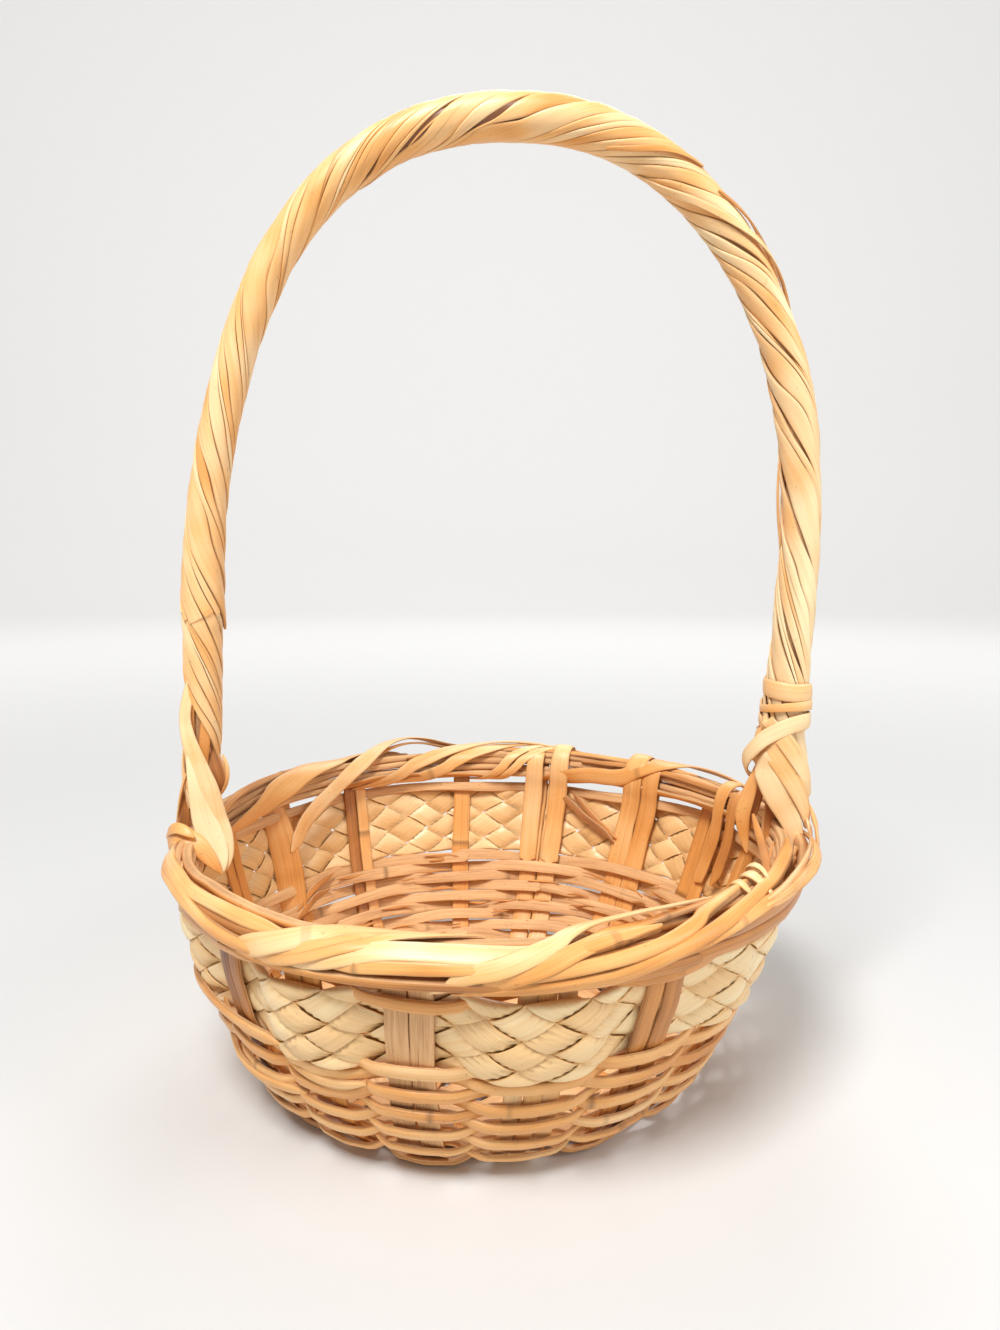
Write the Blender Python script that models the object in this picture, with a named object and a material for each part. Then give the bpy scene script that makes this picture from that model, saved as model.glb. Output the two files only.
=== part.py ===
# A small oval gift basket of split cane with a tall fixed handle.
# Sixteen stakes rise from a woven base. Half-round weavers go in front of one stake
# and behind the next, a flat plait of palm leaf runs round above them, and a lashed
# bundle of rods makes the rim. The handle is a core with four flat strips wound on it.
# Metres, +Z up. X is the long way of the oval, -Y is the front.
import math

import bmesh
import bpy
from mathutils import Vector

# Clearances between pieces that touch on the real basket
GAP = 0.0003            # air left where two pieces lie against each other
BEND_EASE = 0.0002      # extra air where one of the two is bent

SHARP_ANGLE = math.radians(35.0)

# The bowl: a parabola turned round the axis, then made oval and leaning
BASE_RADIUS = 0.0775    # where the stakes leave the base and start to rise
RIM_RADIUS = 0.1220     # the wall's middle at the rim
RIM_HEIGHT = 0.0970
OVAL_SHARE = 0.96       # depth of the oval over its width
LEAN_SHARE = 0.05       # sideways lean of the whole hand-made basket
ORIGIN_SHIFT = -0.0011    # puts the middle of the outline on the origin

# Stakes: flat strips side by side. Angle in degrees, strips in the stake, strip width share
STRIP_WIDTH = 0.0080
STAKE_THICKNESS = 0.0016
STRIP_STEP = 0.0004     # how far every second strip stands proud of its neighbour
STAKE_TUCK = 0.0133     # length pushed in beside the base sticks
TAPER_START = 0.0080    # along the wall, where a stake begins to narrow
TAPER_END = -0.0040
CHORD_TOLERANCE = 0.00018
STAKE_TABLE = (
    (-158.0, 2, 1.00), (-137.0, 2, 1.10), (-119.0, 2, 0.95), (-101.0, 2, 1.05),
    (-80.0, 3, 0.80), (-60.0, 2, 0.95), (-38.0, 2, 0.90), (-15.0, 2, 0.85),
    (12.0, 2, 0.80), (28.0, 2, 0.95), (50.0, 2, 1.15), (75.0, 2, 0.95),
    (97.0, 1, 1.10), (125.0, 2, 0.75), (147.0, 2, 0.90), (166.0, 2, 0.80),
)

# Wall weavers: half-round splints with the round side out
WEAVER_THICKNESS = 0.0016
WEAVER_HEIGHT = 0.0044
ROW_SPACE = 0.0006      # between one row and the next
ROW_COUNT = 11
CROWN_SHARE = 0.5       # width of the round side over that of the flat side
PASS_BULGE = 0.0003     # extra bow of a weaver in the middle of a stake
FLAT_EASE = 0.0006      # how far a weaver runs straight past a stake's edge
FOOT_ROW = -0.0013      # the row that the basket stands on, along the wall from the bend
FOOT_SPACE = 0.0018     # between it and the first row of the wall
LONG_SPAN = math.radians(15.0)  # a free stretch longer than this gets a point in its middle

# Base: eight sticks, four over four, and weavers round them
STICK_WIDTH = 0.0050
STICK_THICKNESS = 0.0014
STICK_SPACE = 0.0008    # between two sticks where they cross
STICK_SHORT = 0.0018    # how far short of the foot weaver a stick ends
STICK_SIDE = 0.0162     # length of a stick that lies beside its stake
STICK_FAN_ROOM = 0.0013 # a stick turns this far outside the crossing
STICK_DROP_ROOM = 0.0023  # the upper four are level this far inside the first weaver
BASE_WEAVER_WIDTH = 0.0074
BASE_WEAVER_SPACE = 0.0016
BASE_WEAVER_SHORT = 0.0013  # between the last base weaver and the foot weaver
BASE_WEAVER_COUNT = 5

# Plait band of palm leaf. One sign for each stake: +1 outside it, -1 inside
PLAIT_HEIGHT = 0.0300
PLAIT_THICKNESS = 0.0018
PLAIT_FOLDS = 4         # folds across the band
PLAIT_SCALLOP = 0.0009  # depth of the folds along its two edges
PLAIT_RELIEF = 0.0003
PLAIT_SIDES = (1, -1, 1, -1, 1, -1, 1, -1, 1, 1, 1, 1, 1, 1, 1, 1)

# One weaver between the plait and the rim
UPPER_HEIGHT = 0.0038

# Rim: two rods outside the stakes and two inside, lashed with a flat strip
RIM_ROOM = 0.0023       # under the rods, besides the strip that passes there
ROD_HEIGHT = 0.0064
ROD_THICKNESS = 0.0046
LASHING_WIDTH = 0.0072
LASHING_THICKNESS = 0.0011
LASHING_CHAMFER = 0.0020
FRONT_TURNS = (-26.5, -70.0, -110.0, -147.5)    # degrees where it passes under the rim
BACK_TURNS = (156.5, 111.0, 62.5, 20.0)
LASHING_LEAD = 28.0     # degrees of one turn past the first and last of them
# Share of a turn's way round the rim at which the strip reaches each corner and side of it
TURN_SHARES = (0.03, 0.07, 0.25, 0.43, 0.47, 0.53, 0.57, 0.75, 0.93, 0.97)

# Handle: an arch that stands on the ends of the oval
SPAN_INSET = 0.0040     # how far inside the rim's radius the legs stand upright
LEG_HEIGHT = 0.0930     # from the rim to where a leg passes into the arch
ARCH_RISE = 0.1800
ARCH_POWER = 2.25       # 2 would be an ellipse; this is a little squarer
CROWN_SHIFT = -0.0050   # the top sits this much to the left of the lean
CROWN_START_SHARE = 0.39    # of the arch's rise, where that shift begins
CORE_RADIUS = 0.0055
FOOT_THICKNESS = 0.0046
FOOT_WIDTH = 0.0104
FOOT_DEPTH_SHARE = 0.43 # of the room under the rim's rods, how far the feet reach into it
FOOT_RISE = 0.0033      # above the rods, where the flat of a foot ends
FOOT_BLEND = 0.0060     # height over which it turns from flat to round
LEG_BLEND = 0.0350      # height over which a leg turns from the wall's slope to upright
WRAP_COUNT = 4
WRAP_EASE = 0.0015      # between the core and the strips, which cut its corners
WRAP_THICKNESS = 0.0013
WRAP_CROWN = 0.0004     # rise of a strip's middle over its edges
WRAP_PITCH = 0.0910     # length of handle for one full turn
WRAP_STEP_SHARE = 0.147 # of that length, between two cross-sections of a strip
WRAP_GAP_SHARE = 0.055  # of a strip's own room, left between two strips
WRAP_START = 0.0005     # above the flat foot
BINDING_RISE = 0.0375   # from the strips' lower ends to the binding's middle
BINDING_TURNS = 3
BINDING_WIDTH = 0.0064
BINDING_SPACE = 0.0006
BINDING_THICKNESS = 0.0011
TIE_WIDTH = 0.0080
TIE_THICKNESS = 0.0012
TIE_SIDE_SHARE = 0.7    # straight part of a tie's sides, over its half height
TIE_TOP_SHARE = 0.8     # and of its top, over its half depth

# Sizes that follow from the ones above
STAKE_OUT = STAKE_THICKNESS / 2 + STRIP_STEP
STAKE_IN = STAKE_THICKNESS / 2
FLOOR_HEIGHT = STAKE_OUT + GAP + BEND_EASE + WEAVER_THICKNESS
RISE_RATE = (RIM_HEIGHT - FLOOR_HEIGHT) / (RIM_RADIUS - BASE_RADIUS) ** 2
WEAVER_PITCH = WEAVER_HEIGHT + ROW_SPACE
FIRST_ROW = FOOT_ROW + WEAVER_HEIGHT + FOOT_SPACE
FOOT_INNER = BASE_RADIUS + FOOT_ROW - WEAVER_HEIGHT / 2
BASE_WEAVER_PITCH = BASE_WEAVER_WIDTH + BASE_WEAVER_SPACE
BASE_WEAVER_LAST = FOOT_INNER - BASE_WEAVER_SHORT - BASE_WEAVER_WIDTH / 2
BASE_WEAVER_FIRST = BASE_WEAVER_LAST - (BASE_WEAVER_COUNT - 1) * BASE_WEAVER_PITCH
STICK_PITCH = STICK_WIDTH + STICK_SPACE
STICK_END = FOOT_INNER - STICK_SHORT
STICK_KNEE = STICK_END - STICK_SIDE     # outside this a stick lies beside its stake
STICK_FAN = 1.5 * STICK_PITCH + STICK_WIDTH / 2 + STICK_FAN_ROOM
STICK_LEVEL = BASE_WEAVER_FIRST - BASE_WEAVER_WIDTH / 2 - STICK_DROP_ROOM
LAST_ROW_TOP = FIRST_ROW + (ROW_COUNT - 1) * WEAVER_PITCH + WEAVER_HEIGHT / 2
PLAIT_BOTTOM = LAST_ROW_TOP + GAP + PLAIT_SCALLOP
UPPER_ROW = PLAIT_BOTTOM + PLAIT_HEIGHT + PLAIT_SCALLOP + GAP + UPPER_HEIGHT / 2
ROD_LIFT = (ROD_HEIGHT + GAP) / 2
STRIP_ROOM = RIM_ROOM + max(LASHING_THICKNESS, TIE_THICKNESS)
RIM_MIDDLE = UPPER_ROW + UPPER_HEIGHT / 2 + STRIP_ROOM + ROD_LIFT + ROD_HEIGHT / 2
RIM_TOP = RIM_MIDDLE + ROD_LIFT + ROD_HEIGHT / 2
RIM_BOTTOM = RIM_MIDDLE - ROD_LIFT - ROD_HEIGHT / 2
ROD_OUT = STAKE_OUT + GAP + BEND_EASE + ROD_THICKNESS
ROD_IN = STAKE_IN + GAP + BEND_EASE + ROD_THICKNESS
ROD_SAG = RIM_RADIUS * (1.0 - math.cos(LONG_SPAN / 2))  # a straight stretch of rod comes in this far
HALF_SPAN = RIM_RADIUS - SPAN_INSET
SPRING_HEIGHT = RIM_HEIGHT + LEG_HEIGHT
HANDLE_TOP = SPRING_HEIGHT + ARCH_RISE
CROWN_START = SPRING_HEIGHT + CROWN_START_SHARE * ARCH_RISE
WRAP_INNER = CORE_RADIUS + WRAP_EASE
WRAP_OUTER = WRAP_INNER + WRAP_THICKNESS + WRAP_CROWN
BINDING_PITCH = BINDING_WIDTH + BINDING_SPACE


def clear_scene():
    for thing in list(bpy.data.objects):
        bpy.data.objects.remove(thing, do_unlink=True)


def make_material(name, colour, roughness):
    material = bpy.data.materials.new(name)
    material.use_nodes = True
    shader = material.node_tree.nodes["Principled BSDF"]
    shader.inputs["Base Color"].default_value = (*colour, 1.0)
    shader.inputs["Roughness"].default_value = roughness
    shader.inputs["Metallic"].default_value = 0.0
    return material


def skin(name, sections, closed, material, twisted=False):
    """Join a row of sections, each a list of points, into one closed solid."""
    mesh = bmesh.new()
    rings = [[mesh.verts.new(point) for point in section] for section in sections]
    pairs = list(zip(rings, rings[1:]))
    if closed:
        pairs.append((rings[-1], rings[0]))
    for here, there in pairs:
        count = len(here)
        for i in range(count):
            k = (i + 1) % count
            mesh.faces.new((here[i], here[k], there[k], there[i]))
    if not closed:
        mesh.faces.new(list(reversed(rings[0])))
        mesh.faces.new(rings[-1])
    if twisted:
        bmesh.ops.triangulate(mesh, faces=mesh.faces, quad_method="SHORT_EDGE")
    if mesh.calc_volume(signed=True) < 0.0:
        bmesh.ops.reverse_faces(mesh, faces=mesh.faces)
    data = bpy.data.meshes.new(name)
    mesh.to_mesh(data)
    mesh.free()
    data.materials.append(material)
    data.shade_smooth()
    data.set_sharp_from_angle(angle=SHARP_ANGLE)
    piece = bpy.data.objects.new(name, data)
    bpy.context.scene.collection.objects.link(piece)
    return piece


def ease_between(share):
    """Smooth step from 0 to 1."""
    share = min(max(share, 0.0), 1.0)
    return share * share * (3.0 - 2.0 * share)


def wall_point(along):
    """Radius, height and slope of the wall's middle, a length along it from the bend."""
    if along <= 0.0:
        return BASE_RADIUS + along, FLOOR_HEIGHT, 0.0
    reach = along
    for _ in range(12):
        slope = 2.0 * RISE_RATE * reach
        root = math.sqrt(1.0 + slope * slope)
        length = reach * root / 2.0 + math.asinh(slope) / (4.0 * RISE_RATE)
        reach -= (length - along) / root
    return (BASE_RADIUS + reach, FLOOR_HEIGHT + RISE_RATE * reach * reach,
            math.atan(2.0 * RISE_RATE * reach))


def wall_offset(along, out):
    """Radius and height of a point that lies out from the wall's middle."""
    radius, height, slope = wall_point(along)
    return radius + math.sin(slope) * out, height - math.cos(slope) * out


# Heights that the handle takes from the rim it stands in
FOOT_BOTTOM = wall_point(RIM_BOTTOM)[1] - FOOT_DEPTH_SHARE * STRIP_ROOM
FOOT_TOP = wall_point(RIM_TOP)[1] + FOOT_RISE
WRAP_BOTTOM = FOOT_TOP + FOOT_BLEND + WRAP_START
BINDING_MIDDLE = WRAP_BOTTOM + BINDING_RISE


def place(x, y, z):
    """From the round upright bowl to the real one, which is oval and leans."""
    return Vector((x + LEAN_SHARE * (z - RIM_HEIGHT) + ORIGIN_SHIFT, OVAL_SHARE * y, z))


def ring_point(theta, radius, height):
    return place(radius * math.cos(theta), radius * math.sin(theta), height)


def strip_point(theta, across, along, out):
    """A point on a flat strip that runs up the wall at the angle theta."""
    radius, height = wall_offset(along, out)
    return place(radius * math.cos(theta) - across * math.sin(theta),
                 radius * math.sin(theta) + across * math.cos(theta), height)


def stake_width(index, along):
    _, strips, width_share = STAKE_TABLE[index]
    full = strips * width_share * STRIP_WIDTH
    share = (along - TAPER_END) / (TAPER_START - TAPER_END)
    return STRIP_WIDTH + (full - STRIP_WIDTH) * min(max(share, 0.0), 1.0)


def stake_angle(index):
    return math.radians(STAKE_TABLE[index][0])


def stake_stations():
    """Places along a stake, closer together where it bends."""
    stations = [-STAKE_TUCK, TAPER_END, 0.0]
    while stations[-1] < RIM_TOP:
        slope = math.tan(wall_point(stations[-1])[2])
        bend = 2.0 * RISE_RATE / (1.0 + slope * slope) ** 1.5
        stations.append(stations[-1] + math.sqrt(8.0 * CHORD_TOLERANCE / bend))
    stations[-1] = RIM_TOP
    if stations[-1] - stations[-2] < STRIP_WIDTH:
        del stations[-2]
    return stations


def stake_section(strips, width):
    """Across and out of each corner: strips side by side, every second one proud."""
    front = []
    back = []
    for k in range(strips):
        proud = STRIP_STEP if k % 2 else 0.0
        for edge in (k, k + 1):
            across = width * (edge / strips - 0.5)
            front.append((across, STAKE_THICKNESS / 2 + proud))
            back.append((across, proud - STAKE_THICKNESS / 2))
    return front + back[::-1]


def make_stakes(material):
    for index, (_, strips, _) in enumerate(STAKE_TABLE):
        theta = stake_angle(index)
        sections = []
        for along in stake_stations():
            corners = stake_section(strips, stake_width(index, along))
            sections.append([strip_point(theta, across, along, out) for across, out in corners])
        skin(f"stake_{index + 1:02d}", sections, False, material)


def stake_crossings(along):
    """What a ring meets there: angle, low and high edge across it, depth in and out."""
    found = []
    for index in range(len(STAKE_TABLE)):
        half = stake_width(index, along) / 2
        found.append((stake_angle(index), -half, half, STAKE_IN, STAKE_OUT))
    return found


def rim_crossings(along):
    """The stakes and the handle's feet, each foot with the tie beside it."""
    half = FOOT_WIDTH / 2
    with_tie = half + FLAT_EASE + TIE_WIDTH
    between = FOOT_THICKNESS / 2
    feet = [(0.0, -with_tie, half, between, between),
            (math.pi, -half, with_tie, STAKE_IN, STAKE_OUT)]
    return sorted(stake_crossings(along) + feet)


def half_round(thickness, height):
    """Along the wall and out of each corner of a split splint, round side out."""
    crown = CROWN_SHARE * height / 2
    return ((-height / 2, -thickness / 2), (height / 2, -thickness / 2),
            (crown, thickness / 2), (-crown, thickness / 2))


def woven_ring(name, along, profile, thickness, crossings, sides, bulge, material):
    """A closed splint that lies straight across each stake, outside or inside it."""
    stops = []
    for (theta, low, high, depth_in, depth_out), side in zip(crossings, sides):
        depth = depth_out if side > 0 else depth_in
        out = side * (depth + GAP + BEND_EASE + thickness / 2)
        radius = wall_offset(along, out)[0]
        stops.append((theta, math.atan2(low - FLAT_EASE, radius), out))
        if side > 0 and bulge > 0.0:
            stops.append((theta, 0.0, out + bulge))
        stops.append((theta, math.atan2(high + FLAT_EASE, radius), out))
    sections = []
    for stop, after in zip(stops, stops[1:] + stops[:1]):
        sections.append(ring_section(along, profile, *stop))
        span = (after[0] + after[1] - stop[0] - stop[1]) % math.tau
        if span > LONG_SPAN:
            middle = stop[0] + stop[1] + span / 2
            sections.append(ring_section(along, profile, middle, 0.0, (stop[2] + after[2]) / 2))
    skin(name, sections, True, material)


def ring_section(along, profile, theta, turn, out):
    """A ring's cross-section, turned on from the middle of a stake along its flat face."""
    section = []
    for step, rise in profile:
        radius, height = wall_offset(along + step, out + rise)
        section.append(ring_point(theta + turn, radius / math.cos(turn), height))
    return section


def alternate(count, first):
    return [first if k % 2 == 0 else -first for k in range(count)]


def make_wall_weavers(material):
    profile = half_round(WEAVER_THICKNESS, WEAVER_HEIGHT)
    for row in range(ROW_COUNT):
        along = FIRST_ROW + row * WEAVER_PITCH
        sides = alternate(len(STAKE_TABLE), 1 if row % 2 else -1)
        woven_ring(f"wall_weaver_{row + 1:02d}", along, profile, WEAVER_THICKNESS,
                   stake_crossings(along), sides, PASS_BULGE, material)
    woven_ring("foot_weaver", FOOT_ROW, profile, WEAVER_THICKNESS,
               stake_crossings(FOOT_ROW), alternate(len(STAKE_TABLE), 1), 0.0, material)
    upper = half_round(WEAVER_THICKNESS, UPPER_HEIGHT)
    woven_ring("upper_weaver", UPPER_ROW, upper, WEAVER_THICKNESS,
               stake_crossings(UPPER_ROW), alternate(len(STAKE_TABLE), -1), PASS_BULGE, material)


# Stakes that each base stick runs to, at its left and right or front and back end
LEFT_RIGHT_STICKS = ((1, 6), (0, 7), (15, 8), (14, 9))
FRONT_BACK_STICKS = ((2, 13), (3, 12), (4, 11), (5, 10))
STICK_BESIDE = STRIP_WIDTH / 2 + GAP + BEND_EASE + STICK_WIDTH / 2


def stick_outer(index, reach):
    """A point of the stretch that lies beside the stake, in the round bowl."""
    theta = stake_angle(index)
    return Vector((reach * math.cos(theta) - STICK_BESIDE * math.sin(theta),
                   reach * math.sin(theta) + STICK_BESIDE * math.cos(theta), 0.0))


def stick_lines():
    """For each stick, where its two straight inner stretches leave the crossing."""
    lines = []
    for group, sticks in enumerate((LEFT_RIGHT_STICKS, FRONT_BACK_STICKS)):
        for k, (first, second) in enumerate(sticks):
            aside = (k - (len(sticks) - 1) / 2) * STICK_PITCH
            for sign, stake in ((-1, first), (1, second)):
                start = (sign * STICK_FAN, aside) if group == 0 else (aside, sign * STICK_FAN)
                lines.append((group, k, stake, Vector((*start, 0.0))))
    return lines


def stick_point(line, reach):
    """Where a stick's inner stretch crosses a circle round the axis, and its direction."""
    _, _, stake, start = line
    knee = stick_outer(stake, STICK_KNEE)
    low, high = 0.0, 1.0
    for _ in range(30):
        middle = (low + high) / 2
        if start.lerp(knee, middle).length < reach:
            low = middle
        else:
            high = middle
    return start.lerp(knee, low), (knee - start).normalized()


def base_crossings(reach, half_ring):
    """What a base weaver meets at a radius, in the order of the angles."""
    found = []
    for line in stick_lines():
        stake = line[2]
        theta = stake_angle(stake)
        if reach - half_ring > STICK_KNEE:
            high = STICK_BESIDE + STICK_WIDTH / 2
            low = STICK_BESIDE - STICK_WIDTH / 2
            if reach + half_ring > BASE_RADIUS - STAKE_TUCK:
                low = -STRIP_WIDTH / 2
                found.append((theta, low, high, STAKE_IN, STAKE_OUT))
            else:
                found.append((theta, low, high, STICK_THICKNESS / 2, STICK_THICKNESS / 2))
            continue
        point, heading = stick_point(line, reach)
        theta = math.atan2(point.y, point.x)
        skew = heading.angle(point)
        half = STICK_WIDTH / 2 / math.cos(skew) + half_ring * math.tan(skew)
        found.append((theta, -half, half, STICK_THICKNESS / 2, STICK_THICKNESS / 2))
    return sorted(found, key=lambda entry: (entry[0] + math.tau) % math.tau)


def make_base(stick_material, weaver_material):
    lift = STICK_THICKNESS + GAP
    for group, sticks in enumerate((LEFT_RIGHT_STICKS, FRONT_BACK_STICKS)):
        for k, (first, second) in enumerate(sticks):
            ends = [line for line in stick_lines() if line[0] == group and line[1] == k]
            route = []
            for line, stake in zip(ends, (first, second)):
                middle = stick_point(line, STICK_LEVEL)[0]
                half = [(stick_outer(stake, STICK_END), 0.0), (stick_outer(stake, STICK_KNEE), 0.0),
                        (middle, 0.0), (line[3], lift * group)]
                route += half if stake == first else half[::-1]
            sections = []
            for i, (point, rise) in enumerate(route):
                before = route[max(i - 1, 0)][0]
                after = route[min(i + 1, len(route) - 1)][0]
                heading = (after - before).normalized()
                sideways = Vector((-heading.y, heading.x, 0.0)) * STICK_WIDTH / 2
                section = []
                for sign, out in ((-1, -1), (1, -1), (1, 1), (-1, 1)):
                    spot = point + sign * sideways
                    height = FLOOR_HEIGHT + rise + out * STICK_THICKNESS / 2
                    section.append(place(spot.x, spot.y, height))
                sections.append(section)
            skin(f"base_stick_{group * len(sticks) + k + 1}", sections, False, stick_material)
    profile = half_round(WEAVER_THICKNESS, BASE_WEAVER_WIDTH)
    for ring in range(BASE_WEAVER_COUNT):
        reach = BASE_WEAVER_FIRST + ring * BASE_WEAVER_PITCH
        crossings = base_crossings(reach, BASE_WEAVER_WIDTH / 2)
        woven_ring(f"base_weaver_{ring + 1}", reach - BASE_RADIUS, profile, WEAVER_THICKNESS,
                   crossings, alternate(len(crossings), 1 if ring % 2 else -1), 0.0,
                   weaver_material)


def plait_section(theta, turn, out, fold):
    """The band's cross-section, outer side up and inner side down again."""
    outer = []
    inner = []
    for k in range(PLAIT_FOLDS + 1):
        share = k / PLAIT_FOLDS
        edge = -1 if k == 0 else 1 if k == PLAIT_FOLDS else 0
        along = PLAIT_BOTTOM + share * PLAIT_HEIGHT + edge * fold * PLAIT_SCALLOP
        relief = PLAIT_RELIEF * (fold if k % 2 else -fold)
        for side, where in ((1, outer), (-1, inner)):
            radius, height = wall_offset(along, out + relief + side * PLAIT_THICKNESS / 2)
            where.append(ring_point(theta + turn, radius / math.cos(turn), height))
    return outer + inner[::-1]


def make_plait(material):
    middle = PLAIT_BOTTOM + PLAIT_HEIGHT / 2
    sections = []
    crossings = stake_crossings(middle)
    for index, (theta, low, high, depth_in, depth_out) in enumerate(crossings):
        side = PLAIT_SIDES[index]
        depth = depth_out if side > 0 else depth_in
        out = side * (depth + GAP + BEND_EASE + PLAIT_RELIEF + PLAIT_THICKNESS / 2)
        radius = wall_offset(middle, out)[0]
        for fold, across in ((1, low - FLAT_EASE), (-1, high + FLAT_EASE)):
            turn = math.atan2(across, radius)
            sections.append(plait_section(theta, turn, out, fold))
        after = (index + 1) % len(crossings)
        step = (crossings[after][0] - theta) % math.tau
        sag = out * (1 + side * PLAIT_SIDES[after]) / 2
        sections.append(plait_section(theta + step / 2, 0.0, sag, 1 if index % 2 else -1))
    skin("plait_band", sections, True, material)


def make_rim(rod_material, strip_material):
    profile = half_round(ROD_THICKNESS, ROD_HEIGHT)
    turned = [(step, -rise) for step, rise in profile]
    for level, sign in (("low", -1), ("high", 1)):
        along = RIM_MIDDLE + sign * ROD_LIFT
        crossings = rim_crossings(along)
        count = len(crossings)
        woven_ring(f"rim_rod_outer_{level}", along, profile, ROD_THICKNESS,
                   crossings, [1] * count, 0.0, rod_material)
        woven_ring(f"rim_rod_inner_{level}", along, turned, ROD_THICKNESS,
                   crossings, [-1] * count, 0.0, rod_material)
    make_lashing("rim_lashing_front", FRONT_TURNS, strip_material)
    make_lashing("rim_lashing_back", BACK_TURNS, strip_material)


def lashing_loop(lift):
    """One turn round the rim, from under it: share of the turn, out and along."""
    seat = GAP + 2 * BEND_EASE + lift
    out = ROD_OUT + seat
    inside = ROD_IN + ROD_SAG + seat
    half = RIM_TOP - RIM_MIDDLE + seat
    flat = half - LASHING_CHAMFER
    corners = ((-inside + LASHING_CHAMFER, -half), (-inside, -flat), (-inside, 0.0),
               (-inside, flat), (-inside + LASHING_CHAMFER, half),
               (out - LASHING_CHAMFER, half), (out, flat), (out, 0.0), (out, -flat),
               (out - LASHING_CHAMFER, -half))
    return [(share, *corner) for share, corner in zip(TURN_SHARES, corners)]


def make_lashing(name, turns, material):
    """A flat strip wound round the rim; it passes under it between two stakes."""
    marks = [turns[0] + LASHING_LEAD, *turns, turns[-1] - LASHING_LEAD]
    girth = 2 * (ROD_OUT + ROD_IN) + 4 * (RIM_TOP - RIM_MIDDLE)
    sections = []
    for k, (start, end) in enumerate(zip(marks, marks[1:])):
        advance = math.radians(start - end) * RIM_RADIUS
        turn = LASHING_WIDTH * math.hypot(girth, advance) / girth / 2 / RIM_RADIUS
        for low, high in zip(lashing_loop(0.0), lashing_loop(LASHING_THICKNESS)):
            share = low[0]
            if k == 0 and share < 0.5 or k == len(turns) and share > 0.5:
                continue
            theta = math.radians(start + (end - start) * share)
            section = []
            for (_, out, along), aside in ((low, -1), (low, 1), (high, 1), (high, -1)):
                radius, height = wall_offset(RIM_MIDDLE + along, out)
                if out > 0.0:
                    radius /= math.cos(turn)
                section.append(ring_point(theta + aside * turn, radius, height))
            sections.append(section)
    skin(name, sections, False, material)


def leg_reach(side, height):
    """How far a leg lies from the middle. The right foot stands between the rim's rods
    and the left one inside them; both follow the slope of the wall there."""
    out = 0.0 if side > 0 else -ROD_IN - GAP - BEND_EASE - FOOT_THICKNESS / 2
    radius, level = wall_offset(RIM_MIDDLE, out)
    foot = radius + (height - level) / math.tan(wall_point(RIM_MIDDLE)[2])
    return foot + (HALF_SPAN - foot) * ease_between((height - FOOT_TOP) / LEG_BLEND)


def handle_route():
    """Closely spaced points along the handle's middle, from left foot to right foot."""
    fine = 40
    points = []
    for k in range(fine):
        height = FOOT_BOTTOM + (SPRING_HEIGHT - FOOT_BOTTOM) * k / fine
        points.append((-leg_reach(-1, height), height))
    power = 2.0 / ARCH_POWER
    for k in range(4 * fine + 1):
        turn = math.pi * (1.0 - k / (4 * fine))
        across = math.copysign(abs(math.cos(turn)) ** power, math.cos(turn)) * HALF_SPAN
        height = SPRING_HEIGHT + ARCH_RISE * math.sin(turn) ** power
        shift = CROWN_SHIFT * ease_between((height - CROWN_START) / (HANDLE_TOP - CROWN_START))
        points.append((across + shift, height))
    for k in range(1, fine + 1):
        height = SPRING_HEIGHT - (SPRING_HEIGHT - FOOT_BOTTOM) * k / fine
        points.append((leg_reach(1, height), height))
    return [Vector((across, 0.0, height)) for across, height in points]


def route_lengths(route):
    lengths = [0.0]
    for here, there in zip(route, route[1:]):
        lengths.append(lengths[-1] + (there - here).length)
    return lengths


def at_length(route, lengths, length):
    """Point and heading at a length along a route."""
    k = 1
    while k < len(route) - 1 and lengths[k] < length:
        k += 1
    share = (length - lengths[k - 1]) / (lengths[k] - lengths[k - 1])
    before = route[max(k - 2, 0)]
    after = route[min(k + 1, len(route) - 1)]
    return route[k - 1].lerp(route[k], share), (after - before).normalized()


def length_at_height(route, lengths, side, height):
    """Length along the handle where one leg reaches a height."""
    numbers = range(len(route)) if side < 0 else range(len(route) - 1, -1, -1)
    for k in numbers:
        if route[k].z >= height:
            return lengths[k]
    return 0.0


def handle_point(point, heading, turn, deep, wide):
    """A point round the handle's middle: turn 0 is the outside of the arch, then the back."""
    outward = Vector((-heading.z, 0.0, heading.x))
    spot = point + outward * (deep * math.cos(turn)) + Vector((0.0, wide * math.sin(turn), 0.0))
    return place(spot.x, spot.y, spot.z)


def make_core(route, lengths, material):
    sides = 8
    steps = 32
    low = [length_at_height(route, lengths, -1, height)
           for height in (FOOT_BOTTOM, FOOT_TOP, FOOT_TOP + FOOT_BLEND)]
    high = [length_at_height(route, lengths, 1, height)
            for height in (FOOT_TOP + FOOT_BLEND, FOOT_TOP)] + [lengths[-1]]
    between = [low[-1] + (high[0] - low[-1]) * k / steps for k in range(1, steps)]
    sections = []
    for length in low + between + high:
        point, heading = at_length(route, lengths, length)
        share = ease_between((point.z - FOOT_TOP) / FOOT_BLEND)
        deep = FOOT_THICKNESS / 2 + (CORE_RADIUS - FOOT_THICKNESS / 2) * share
        wide = FOOT_WIDTH / 2 + (CORE_RADIUS - FOOT_WIDTH / 2) * share
        sections.append([handle_point(point, heading, math.tau * (i + 0.5) / sides, deep, wide)
                         for i in range(sides)])
    skin("handle_core", sections, False, material)


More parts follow.
